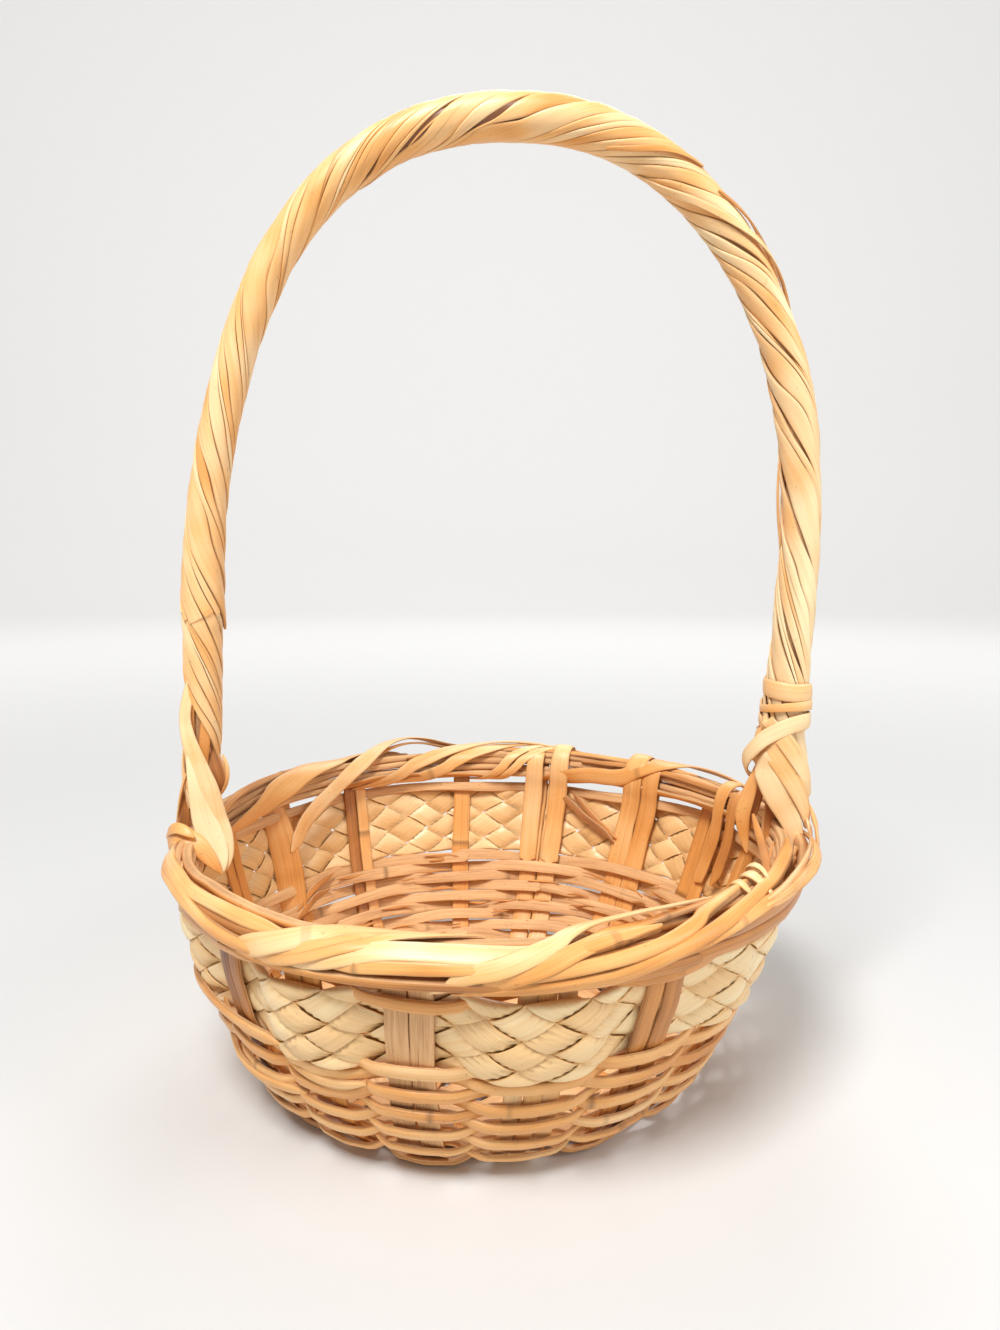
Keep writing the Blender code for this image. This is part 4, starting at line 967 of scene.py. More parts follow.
def handleTable():
    halfSpan = bowl["rimRadius"] - arch["inset"]
    spring = bowl["rimHeight"] + arch["legHeight"]
    top = spring + arch["rise"]
    crown = spring + arch["crownShare"] * arch["rise"]
    slope = math.tan(np.interp(bowl["rimMiddle"], wallAlong, wallSlope))

    def reach(side, height):
        radius, level = wallProfile(bowl["rimMiddle"], 0.0 if side > 0 else arch["leftOut"])
        foot = radius + (height - level) / slope
        return foot + (halfSpan - foot) * smooth((height - arch["footTop"]) / arch["legBlend"])

    rise = np.linspace(arch["footBottom"], spring, 80, endpoint=False)
    turn = np.linspace(math.pi, 0.0, 321)
    power = 2.0 / arch["power"]
    across = np.sign(np.cos(turn)) * np.abs(np.cos(turn)) ** power * halfSpan
    height = spring + arch["rise"] * np.sin(turn) ** power
    across += arch["crownShift"] * smooth((height - crown) / (top - crown))
    xs = np.concatenate([-reach(-1, rise), across, reach(1, rise[::-1])])
    zs = np.concatenate([rise, height, rise[::-1]])
    line = np.stack([xs, zs], 1)
    length = runOf(line)
    even = np.arange(0.0, length[-1], 0.5 * mm)
    line = np.stack([np.interp(even, length, line[:, k]) for k in (0, 1)], 1)
    for _ in range(6):      # rounds off the small kinks between leg and arch
        line[1:-1] = (line[:-2] + line[1:-1] * 2 + line[2:]) / 4
    heading = unit(np.gradient(line, axis=0))
    return even, line, np.stack([-heading[:, 1], heading[:, 0]], 1)


handleLength, handleLine, handleOutward = handleTable()


# A spot round the handle and its outward direction: length from the left foot, turn in
# degrees (0 outside the arch, -90 at the front, 180 inside), distance from the middle
def handleSpot(length, turn, radius):
    turn = np.radians(turn)
    middle = np.stack([np.interp(length, handleLength, handleLine[:, k]) for k in (0, 1)], -1)
    outward = unit(np.stack([np.interp(length, handleLength, handleOutward[:, k])
                             for k in (0, 1)], -1))
    across = np.cos(turn)[..., None] * outward

    def at(reach):
        reach = np.asarray(reach)
        return lean(middle[..., 0] + across[..., 0] * reach, np.sin(turn) * reach,
                    middle[..., 1] + across[..., 1] * reach)
    return at(radius), unit(at(np.asarray(radius) + 1.0 * mm) - at(radius))


# The strips wound on the handle, in five places side by side
handleLook = {
    # where the edges between the places pass the front of the handle, in mm from the left
    # foot: one row for each edge, one number for each time it comes round
    "edges": (
        (26, 121, 215, 315, 411.5, 495.5, 618, 735),
        (61.5, 149, 251, 341, 433, 528, 648, 765),
        (76, 172, 274.5, 374, 446.5, 564.5, 680, 797),
        (88, 188, 287, 385, 463.5, 597, 712, 829),
        (106, 208.5, 303, 399.5, 490, 608, 724, 841),
    ),
    "tones": (0.68, 0.60, 0.74, 0.57, 0.66),
    # length along the handle and the strips' outer radius there, in mm
    "radius": ((0, 6.4), (12, 7.6), (27, 8.4), (60, 8.6), (94, 8.7), (99, 9.2), (112, 8.9),
               (135, 8.2), (180, 7.8), (250, 7.8), (290, 8.3), (341, 9.0), (390, 8.6),
               (440, 8.1), (475, 7.7), (505, 8.4), (540, 8.0), (565, 8.0), (600, 8.5),
               (640, 9.0), (652, 8.7), (662, 8.0), (672, 7.0), (684, 5.6)),
    "thick": 1.25 * mm, "gap": 0.12 * mm, "under": 0.3 * mm, "shade": (0.12, 60 * mm),
    # from the left foot to the right one, and where the lower strips are spliced in; the
    # ends lie apart by these steps, all in mm
    "start": 14.0, "end": 678.0, "splice": 98.0, "spliceOver": 7.0, "step": 1.5,
    "ragged": 2.3, "raggedMost": 5, "raggedLow": 2.5, "soften": 21,
    # how far the strips tip over each other, left and right of the crown
    "tilt": 0.08, "tiltRight": 0.15, "tiltFrom": 380 * mm, "tiltTo": 420 * mm,
    "tiltWander": (0.07, 70 * mm),
    # each place holds two strips: how unevenly it is split, and the tone of each
    "uneven": (0.14, 90 * mm), "split": (0.13, 0.87), "halfTones": (-0.05, 0.03),
    "partTones": (0.04, 0.10), "partLift": (0.0, -0.55),
    # length along the handle, and how far from its middle each place is split
    "aside": ((14, 0.1), (90, 0.22), (320, 0.34), (350, 0.1), (500, 0.0), (540, 0.2), (684, 0.24)),
    # slots beside a strip: where along the handle, how far they reach each way, how wide
    "slots": {0: ((313, 9, 3.2),), 1: ((341, 8, 2.5), (525, 9, 1.3)),
              2: ((452, 12, 1.3), (563, 10, 1.2)),
              4: ((288, 5, 1.2), (491, 9, 1.2), (605, 11, 1.3))},
    # length along the handle, and how much paler the strips are there
    "paler": ((0, 0.02), (40, 0.0), (100, 0.05), (118, 0.0), (200, 0.05), (300, -0.03),
              (420, 0.04), (520, 0.12), (600, 0.22), (684, 0.24)),
}
coreLook = {
    "flatWide": 10.2, "flatThick": 4.4, "round": 11.0, "blend": 6 * mm, "step": 3.0 * mm,
    "section": {"Points Round": 20, "Edge Power": 1.0, "Skin Power": 1.0, "Back Power": 1.0,
                "Grain Depth": 0.5 * mm, "Back Grain": 0.5 * mm},
}


# A table with lengths and values in mm, read at any length
def tableAt(key, length, unit=mm):
    table = np.array(handleLook[key])
    return np.interp(length, table[:, 0] * mm, table[:, 1] * unit)


# Where one edge is in its winding, with the corners between its crossings rounded off
def edgeTurn(row, length):
    crossings = np.array([row[0] - (row[1] - row[0]), *row]) * mm
    turns = -90.0 + 360.0 * np.arange(-1, len(row))
    turn = np.interp(length, crossings, turns)
    count = handleLook["soften"]
    ahead = np.arange(1, count + 1)
    padded = np.concatenate([turn[0] - (turn[1] - turn[0]) * ahead[::-1], turn,
                             turn[-1] + (turn[-1] - turn[-2]) * ahead])
    window = np.hanning(2 * count + 1)
    return np.convolve(padded, window / window.sum(), "same")[count:-count]


# A strip between two neighbouring edges
def handleStrip(length, lead, trail, tone, seed, lift, knots):
    look = handleLook
    radius = tableAt("radius", length) - look["thick"] / 2 - look["under"] + lift
    turn = (lead + trail) / 2
    points, outward = handleSpot(length, turn, radius)
    pitch = np.abs(np.gradient(np.radians(turn), length)) * radius      # slope of the winding
    cosine = 1.0 / np.sqrt(1.0 + pitch ** 2)
    width = np.radians(np.abs(lead - trail)) * radius * cosine - look["gap"]
    tangent = unit(np.gradient(points, axis=0))
    side = unit(np.cross(tangent, outward))
    tilt = np.interp(length, (look["tiltFrom"], look["tiltTo"]), (look["tilt"], look["tiltRight"]))
    tilt = tilt + drift(length, *look["tiltWander"], seed + 3)
    tone = tone + tableAt("paler", length, 1.0)
    return splint(points, outward + side * tilt[:, None], width, look["thick"],
                  tone + drift(length, *look["shade"], seed), seed,
                  bow=cosine ** 2 / radius, knots=knots, blunt=0)


# Free strips at the feet, the binding and loose ends: for each its tone, thickness, and
# rows of length, turn, distance from the handle's middle and width, all but the turn in mm
freeLook = {
    "step": 1.3 * mm, "bow": 45.0, "shade": (0.05, 40 * mm),
    "even": (0.001, 0.00015, 0.001, 0.001),     # metres for one of each column
    "foot": (
        (0.46, 1.0, (
            (92, -200, 5.6, 3.4), (74, -150, 6.2, 4.4), (58, -118, 6.4, 4.6),
            (44, -112, 6.4, 4.2), (30, -116, 6.2, 3.6))),
        (0.40, 1.0, (
            (84, -90, 5.8, 3.0), (68, -64, 6.4, 3.6), (54, -62, 6.6, 3.6), (40, -66, 6.6, 3.0),
            (28, -60, 6.4, 2.6))),
    ),
    "binding": (
        (0.80, 1.0, (
            (622.5, -215, 9.0, 6.4), (623, -150, 9.4, 7.4), (624, -90, 9.6, 7.6),
            (624.5, -30, 9.6, 7.4), (627, 40, 9.6, 6.6), (630, 120, 9.6, 5.6),
            (632, 180, 9.6, 5.0))),
        (0.74, 1.0, (
            (632, -185, 9.4, 3.0), (630.5, -130, 9.8, 3.4), (629.5, -80, 10.0, 3.8),
            (630, -10, 10.0, 4.4), (633, 80, 9.8, 4.6), (636, 160, 9.6, 4.6),
            (638.5, 215, 9.6, 4.6))),
        (0.90, 1.05, (
            (637.5, 60, 9.6, 5.4), (636, -10, 10.0, 6.4), (636, -60, 10.2, 6.8),
            (637.5, -96, 10.4, 6.8), (641, -130, 11.6, 6.4), (645, -158, 14.2, 6.2),
            (648.5, -176, 16.4, 6.0), (653, -184, 16.6, 5.4), (658, -190, 14.4, 4.2),
            (662, -198, 11.6, 2.4))),
    ),
    "loose": (
        (0.78, 0.9, (
            (400, -176, 8.2, 1.8), (412, -150, 8.9, 2.6), (424, -118, 9.0, 2.8),
            (440, -78, 9.0, 2.8), (456, -30, 9.1, 2.6), (470, 6, 9.1, 2.2), (484, 30, 8.4, 1.6))),
        (0.30, 0.9, (
            (428, -52, 8.0, 1.4), (440, -26, 8.9, 2.8), (452, -2, 9.1, 3.4), (466, 24, 9.2, 3.2),
            (480, 48, 8.5, 1.8))),
        # dark strips under the slots at the crown, partly the brown inner strips and partly
        # painted shade in the slots, and a pale sliver
        (-0.1, 0.7, (
            (300, -156, 7.0, 1.2), (308, -127, 7.4, 3.4), (318, -90, 7.4, 3.4),
            (327, -57, 7.0, 1.2))),
        (-0.1, 0.7, (
            (330, -145, 7.4, 1.2), (337, -116, 7.8, 3.0), (345, -84, 7.8, 3.0),
            (352, -56, 7.4, 1.2))),
        (0.55, 0.6, (
            (305, -138, 7.6, 0.5), (311, -116, 8.1, 0.7), (317, -96, 8.1, 0.7),
            (323, -76, 7.6, 0.5))),
        (0.50, 0.9, (
            (384, -140, 8.4, 1.4), (395, -108, 9.2, 2.2), (406, -70, 9.3, 2.2),
            (418, -30, 8.5, 1.4))),
        (0.56, 0.8, (
            (533, -186, 7.8, 1.4), (543, -182, 8.8, 2.2), (554, -178, 8.9, 2.2),
            (566, -176, 7.9, 1.4))),
    ),
}


def freeStrip(entry, seed):
    tone, thick, rows = entry
    even = np.array(freeLook["even"])
    steps = smoothLine(np.array(rows, float) * even, freeLook["step"]) / even
    points, outward = handleSpot(steps[:, 0] * mm, steps[:, 1], steps[:, 2] * mm)
    return splint(points, outward, steps[:, 3] * mm, thick * mm,
                  tone + drift(runOf(points), *freeLook["shade"], seed), seed,
                  bow=freeLook["bow"])


def layHandle():
    look = handleLook
    rows = look["edges"]
    strips = []
    for k, row in enumerate(rows):
        following = rows[(k + 1) % len(rows)]
        back = 0.0 if k < len(rows) - 1 else 360.0
        upper = np.arange(look["splice"] + (k * look["ragged"]) % look["raggedMost"],
                          look["end"] + k, look["step"]) * mm
        lower = np.arange(look["start"] + look["raggedLow"] * k,
                          look["splice"] + look["spliceOver"], look["step"]) * mm
        for part, length in enumerate((upper, lower)):
            if part == 1 and k == 0:
                continue    # at the left foot this place is open, with one loose broad strip
            lead, trail = edgeTurn(row, length), edgeTurn(following, length) - back
            # Each place holds two strips, and one is now the wider, now the narrower
            split = 0.5 + drift(length, *look["uneven"], 450 + k) \
                + (-1) ** k * tableAt("aside", length, 1.0)
            middle = lead + (trail - lead) * np.clip(split, *look["split"])
            for where, reach, wide in look["slots"].get(k, ()):
                bump = np.exp(-((length - where * mm) / (reach * mm)) ** 2)
                lead = lead - np.degrees(bump * wide * mm / tableAt("radius", length))
            for half, edges in enumerate(((lead, middle), (middle, trail))):
                tone = look["tones"][k] + look["partTones"][part] + look["halfTones"][half]
                strips.append(handleStrip(
                    length, *edges, tone, 400 + k + 10 * part + 20 * half,
                    look["partLift"][part] * mm,
                    knots=((0.002, 0.35),) if part == half == 0 else ()))
    strips += [freeStrip(entry, 420 + k) for k, entry in enumerate(freeLook["foot"])]
    strips += [freeStrip(entry, 436 + k) for k, entry in enumerate(freeLook["loose"])]
    layPiece("handleStrips", strips, finishes["handle cane"], {"Points Round": 18},
             [f"handle_wrap_{k}" for k in (1, 2, 3, 4)])


# The core, flat in the rim and round above it
def layCore():
    look = coreLook
    length = np.arange(0.0, handleLength[-1], look["step"])
    straight = np.zeros(len(length))
    points, outward = handleSpot(length, straight, straight)
    rise = np.interp(length, handleLength, handleLine[:, 1])
    share = smooth((rise - arch["footTop"]) / look["blend"])
    wide, thick = [(flat + (look["round"] - flat) * share) * mm
                   for flat in (look["flatWide"], look["flatThick"])]
    core = splint(points, outward, wide, thick, 0.3, 430, blunt=0)
    layPiece("handleCore", [core], finishes["rough cane"], look["section"], ["handle_core"])


def layBinding():
    strips = [freeStrip(entry, 450 + k) for k, entry in enumerate(freeLook["binding"])]
    layPiece("handleBinding", strips, finishes["handle cane"], {"Points Round": 18},
             ["handle_binding"])


# Strips at the two feet of the handle. Each has tone and thickness in mm, and
# its spots: x, y, z in mm, where it faces (turn and tip in degrees) and width in mm
footLook = {
    "step": 1.2 * mm, "bow": 30.0, "blunt": 0.5 * mm, "shade": (0.06, 30 * mm),
    "even": (0.001, 0.001, 0.001, 0.00005, 0.00005, 0.001),     # metres for one of each column
    "pale": (
        (0.84, 1.1, (
            (-118.4, -3.4, 162, -56, 4, 4.4), (-120, -6, 155, -64, 8, 4.4),
            (-121.1, -8, 148.4, -72, 12, 4.4), (-121.2, -8.8, 143.7, -72, 12, 4.6),
            (-120, -9.8, 137.3, -72, 13, 5.6), (-118.2, -10.6, 131.6, -72, 14, 6.7),
            (-116.1, -11.4, 123.7, -73, 15, 9.2), (-114, -12, 115.7, -73, 16, 11.6),
            (-111.8, -13, 104.1, -73, 18, 13.4), (-109.3, -14, 97.7, -74, 19, 12.8),
            (-107.4, -15, 91.2, -74, 19, 10), (-106.6, -16, 87.1, -74, 20, 6.1),
            (-106.7, -16.5, 83.5, -74, 20, 1.1))),
        (0.98, 1.0, (
            (-120.3, -11.6, 130.4, -72, 14, 0.8), (-118.7, -12.3, 123.9, -72, 15, 3.8),
            (-116.8, -13, 116, -73, 16, 6.4), (-113.8, -14.1, 104.4, -73, 18, 9.7),
            (-111.1, -15, 98, -73, 19, 10.2), (-108.4, -16.1, 91.6, -74, 19, 8.3),
            (-107, -17, 87.5, -74, 20, 5), (-106.5, -17.6, 84.1, -74, 20, 0.9))),
        (0.84, 1.1, (
            (110.2, 4, 132.4, 178, 0, 5.1), (108.9, -4, 128.9, -142, 5, 8.7),
            (110.7, -8.6, 122.7, -115, 10, 9.8), (114.6, -10.4, 114.2, -100, 10, 10.1),
            (119.2, -10.8, 106.4, -92, 12, 9.1), (122.3, -11, 99.4, -90, 14, 7.5),
            (123.3, -11.2, 92.9, -90, 16, 5.9), (122.7, -11.8, 86.5, -90, 18, 4.1),
            (121.8, -12.5, 80.7, -90, 18, 1.9))),
        (0.72, 1.1, (
            (111.2, 4, 138, 178, 0, 4.5), (110.2, -4.5, 136, -138, 5, 7.6),
            (113.9, -9.2, 130.3, -106, 8, 8.8), (119.2, -10.6, 122.7, -90, 8, 8.8),
            (123.7, -10.6, 114.8, -76, 8, 7.9), (126.9, -9.2, 106.4, -62, 8, 5.5),
            (128.3, -8, 99.4, -56, 8, 2.5))),
        (0.78, 1.0, (
            (111.1, 3, 143.5, 178, 0, 3), (111.7, -6, 142.6, -130, 5, 5.6),
            (116.6, -9.8, 136.8, -98, 6, 7), (122.2, -10.4, 129.1, -78, 6, 7.2),
            (126.8, -8.6, 120.7, -56, 6, 5.7), (129.6, -5, 112.6, -40, 6, 3.1))),
    ),
    "tieLeft": (
        (0.54, 1.2, (
            (-133.8, 6, 81.9, -178, -50, 4.9), (-133.1, 1, 85.8, -172, -25, 7.2),
            (-131.9, -4, 91.1, -160, -5, 9.3), (-129.7, -10, 95.9, -140, 15, 10.1),
            (-125, -15.5, 98.9, -108, 30, 10.4), (-120, -18.2, 98.2, -90, 40, 8.9),
            (-115.1, -19.4, 95.6, -88, 35, 7.7), (-110.9, -19.8, 90.9, -88, 25, 6),
            (-107.9, -20, 86.9, -88, 20, 3.2), (-106.2, -19.6, 84.3, -88, 20, 0.8))),
        (0.48, 1.0, (
            (-134.5, 8, 89.2, 178, 0, 3.2), (-132.7, 0, 93.9, -170, 10, 4.3),
            (-128.5, -12, 99.8, -138, 25, 4.6), (-124, -17, 102.4, -108, 35, 4.7),
            (-119.9, -19.4, 101.8, -90, 40, 3.8), (-116.4, -20.2, 99.7, -88, 40, 1.7))),
    ),
    "tieRight": (
        (0.62, 1.3, (
            (129.8, 2, 107.6, -39, 11, 1.9), (130, -4, 107.6, -41, 11, 2.7),
            (130.5, -8, 105, -42, 11, 3.3), (130.9, -12, 100.3, -43, 12, 3.7),
            (126.5, -27.8, 98.4, -48, 11, 3.9), (119.1, -46.4, 98.7, -54, 11, 4.1),
            (110.9, -61.9, 99.2, -59, 11, 4.3), (103.2, -73.1, 98.9, -63, 11, 4),
            (96.6, -80.6, 98.6, -66, 11, 3.1), (90.9, -85.8, 98.3, -67, 11, 1.7))),
        (0.74, 1.2, (
            (127.6, -4, 104.2, -41, 11, 1.7), (127.9, -10, 102.6, -43, 11, 2.7),
            (128.1, -14, 98.4, -44, 12, 3.3), (120.6, -36.7, 100.6, -51, 11, 3.3),
            (112.6, -54.2, 101.1, -57, 11, 3.3), (105.1, -67.2, 100.9, -61, 11, 3.2),
            (98.4, -76.9, 100.4, -64, 11, 2.8), (92.4, -82.7, 99.5, -67, 11, 1.7))),
    ),
    "smooth": (
        (0.6, 1.0, (
            (-122.7, -6, 121.4, -120, 0, 0.8), (-124.1, -6, 117.7, -130, 0, 1.2),
            (-125.9, -5, 112.1, -140, 0, 1.4), (-127.4, -4, 105.7, -150, 0, 1.4),
            (-128.5, -3, 99.6, -150, 0, 1.3))),
        (0.6, 1.2, (
            (-108, -5, 129.4, -74, 14, 0.9), (-106.2, -6, 124.8, -74, 15, 1.5),
            (-106.2, -6, 119.9, -74, 15, 1.5), (-107.7, -5, 115.7, -74, 16, 1.4),
            (-109.8, -4, 112.2, -74, 16, 0.8))),
        (0.48, 1.0, (
            (110.6, -2, 128.7, -105, 14, 1.6), (108.5, -2, 121.3, -105, 15, 3.5),
            (105.3, -3, 112, -104, 16, 5.7), (103.1, -4, 104.2, -104, 17, 6.1),
            (103.5, -5, 96.3, -104, 18, 4.5), (104.8, -6, 88.3, -104, 20, 1.4))),
        # painted shade: a darker strip for the shadowed side of the one above
        (0.26, 1.0, (
            (113.1, 3, 124, -105, 15, 2.7), (111.1, 3, 114.3, -105, 16, 5.2),
            (108.9, 2, 104.3, -105, 17, 4.4), (107.3, 1, 96.3, -105, 18, 1.5))),
    ),
    "rough": (
        # two dark strips at the left foot: brown inner cane, darkened further as painted shade for
        # the core and inner strips
        (0.16, 1.0, (
            (-124.3, -3, 118.3, -72, 15, 1.9), (-124.6, -3, 111.5, -72, 16, 3.9),
            (-125, -3, 105.4, -72, 17, 5.9), (-125.8, -3, 97.7, -72, 18, 6.3))),
        (0.1, 1.0, (
            (-114.8, -2, 134.6, -73, 13, 2.7), (-112.5, -3, 128.1, -74, 14, 5.5),
            (-110.7, -4, 122.4, -74, 15, 7), (-109.8, -4, 117.8, -74, 16, 5.7),
            (-109.9, -3, 113, -74, 16, 2.3))),
        (0.4, 1.3, (
            (106.7, -6, 104.8, -105, 17, 1.6), (108.5, -9, 97.7, -105, 18, 3),
            (110, -13, 91, -105, 19, 3.4), (110, -20, 85.6, -106, 20, 3.4),
            (108.8, -28, 80.4, -106, 21, 2.6))),
        (0.26, 1.2, (
            (116.3, 1, 113.9, -106, 16, 2.7), (115.1, 0, 102.9, -106, 17, 5.2),
            (114.4, -1, 93.9, -106, 19, 4.8), (115.2, -2, 86, -106, 20, 2.7))),
        (0.4, 1.2, (
            (120.9, -5, 99.4, -107, 18, 2.7), (117.5, -9, 94.9, -106, 19, 4.3),
            (113.7, -13, 91.8, -106, 19, 3.2), (112, -16, 88.6, -106, 20, 1.6))),
    ),
    "stakeLeft": (
        (0.5, 1.2, (
            (-103.5, 57, 86.7, -62, 12, 11), (-100.7, 56, 77.7, -62, 14, 12.8),
            (-97.8, 55, 67, -62, 16, 13.7), (-95.6, 53.5, 56.4, -62, 18, 13.8),
            (-94, 51.5, 45.5, -62, 20, 13.4), (-93, 49, 35.4, -62, 22, 12.5))),
    ),
}


def footStrip(entry, seed):
    tone, thick, rows = entry
    look = footLook
    even = np.array(look["even"])
    steps = smoothLine(np.array(rows, float) * even, look["step"]) / even
    turn, tip = np.radians(steps[:, 3]), np.radians(steps[:, 4])
    outward = np.stack([np.cos(turn) * np.cos(tip), np.sin(turn) * np.cos(tip), np.sin(tip)], -1)
    points = steps[:, :3] * mm
    return splint(points, outward, steps[:, 5] * mm, thick * mm,
                  tone + drift(runOf(points), *look["shade"], seed), seed, bow=look["bow"],
                  blunt=look["blunt"])


def layFeet():
    for name, key, nodes, finish in (
            ("tieLeft", "tieLeft", ["tie_loop_left"], "honey cane"),
            ("tieRight", "tieRight", ["tie_loop_right"], "handle cane"),
            ("footEnds", "smooth", [], "handle cane"), ("footPale", "pale", [], "handle cane"),
            ("footRough", "rough", [], "rough cane"),
            ("bentStake", "stakeLeft", [], "honey cane")):
        first = 480 + 9 * len(name)
        strips = [footStrip(entry, first + k) for k, entry in enumerate(footLook[key])]
        layPiece(name, strips, finishes[finish], stripSection, nodes)


# The plait: five strands of palm leaf that go over one and under one and fold at both edges.
# Each strand is a straight ribbon, folded like a zigzag between the band's two edges.
plaitLook = {
    "high": 32.0 * mm, "lift": 1.5 * mm, "strands": 5, "periods": 7, "thick": 0.5 * mm,
    # a strand's half width and how much it varies, in shares of a cell
    "wide": 0.47, "widths": 0.055,
    "depth": 1.15 * mm, "sharp": 2.0, "puff": 0.60 * mm, "bend": 0.7 * mm,
    "restless": 0.45 * mm, "outside": 3.0 * mm, "inside": -2.6 * mm, "start": 0.35,
    # spots across a strand, and along it from one edge of the band to the other
    "across": 9, "edgeShares": (0.0, 0.004, 0.012, 0.025, 0.045, 0.075, 0.12),
    "middleShares": (0.17, 0.83, 15),
    # sizes and waves round the bowl of the band's ripples, and their slant
    "ripples": ((0.35 * mm, 23.0), (0.3 * mm, 41.0)), "slant": 90.0,
    # angle, how far the band hangs down and how far it bows out there, in mm
    "hang": ((-180, -1.0, 0), (-150, -1.5, 0.5), (-128, 1.2, 1.8), (-112, -0.8, 1.0),
             (-100, -2.4, 0), (-88, -1.0, 2.2), (-76, -0.4, 2.6), (-64, -2.2, 0.8),
             (-48, -4.0, 1.4), (-30, -3.6, 0.6), (-10, -1.0, 0), (60, 0.6, 0), (110, 0.4, 0),
             (150, 0.8, 0)),
    "hangSoft": 0.09, "belly": 0.6,
    # outside (1) or inside (-1) each stake
    "sides": (1, -1, 1, -1, 1, -1, 1, -1, 1, 1, 1, 1, 1, 1, 1, 1),
    # tone, its chance, how dark the painted shade is where a strand dips under another, and how
    # much paler the back is, painted light where it lies in shade
    "tone": 0.77, "toneChance": 0.18, "hollow": 0.34, "dipShadePower": 1.5,
    "backPaintedLight": 0.12, "backReach": 60 * mm, "grainWide": 4.6, "grainLong": 1.3,
}


# How far out the plait runs: outside or inside each stake
def plaitPath(middle):
    look = plaitLook
    places, depths = [], []
    for (angle, half), side in zip(stakeSpans(middle), look["sides"]):
        places += [angle - half, angle + half]
        depths += [look["outside"] if side > 0 else look["inside"]] * 2
    places = np.array([places[-1] - math.tau] + places + [places[0] + math.tau])
    depths = np.array([depths[-1]] + depths + [depths[0]])

    def bandOut(angle):
        k = np.clip(np.searchsorted(places, angle, side="right") - 1, 0, len(places) - 2)
        return depths[k] + (depths[k + 1] - depths[k]) * smooth(
            (angle - places[k]) / (places[k + 1] - places[k]))
    return bandOut


# Where a spot of the flat band comes to lie on the wall
def plaitPlacer():
    look = plaitLook
    middle = bowl["plaitMiddle"] + look["lift"]
    fine = np.linspace(-math.pi, math.pi, 2881)
    arc = runOf(wallSpot(fine, middle, 0.0))
    bandOut = plaitPath(middle)
    hang = np.array(look["hang"], float)
    turns = np.radians(np.concatenate([hang[:, 0] - 360, hang[:, 0], hang[:, 0] + 360]))
    hangs = [np.tile(hang[:, column], 3) * mm for column in (1, 2)]
    soft = look["hangSoft"]
    (big, waves), (small, shortWaves) = look["ripples"]

    def place(x, y, level):
        angle = np.interp(x % arc[-1], arc, fine)
        down, bow = (sum(np.interp(angle + turn, turns, values) for turn in (-soft, 0, soft)) / 3
                     for values in hangs)
        ripple = big * np.sin(angle * waves + y * look["slant"]) \
            + small * np.sin(angle * shortWaves)
        belly = bow * (1 - (2 * y / look["high"]) ** 2 * look["belly"])
        return wallSpot(angle, middle + y - down + ripple, bandOut(angle) + belly + ripple + level)
    return place, arc[-1]


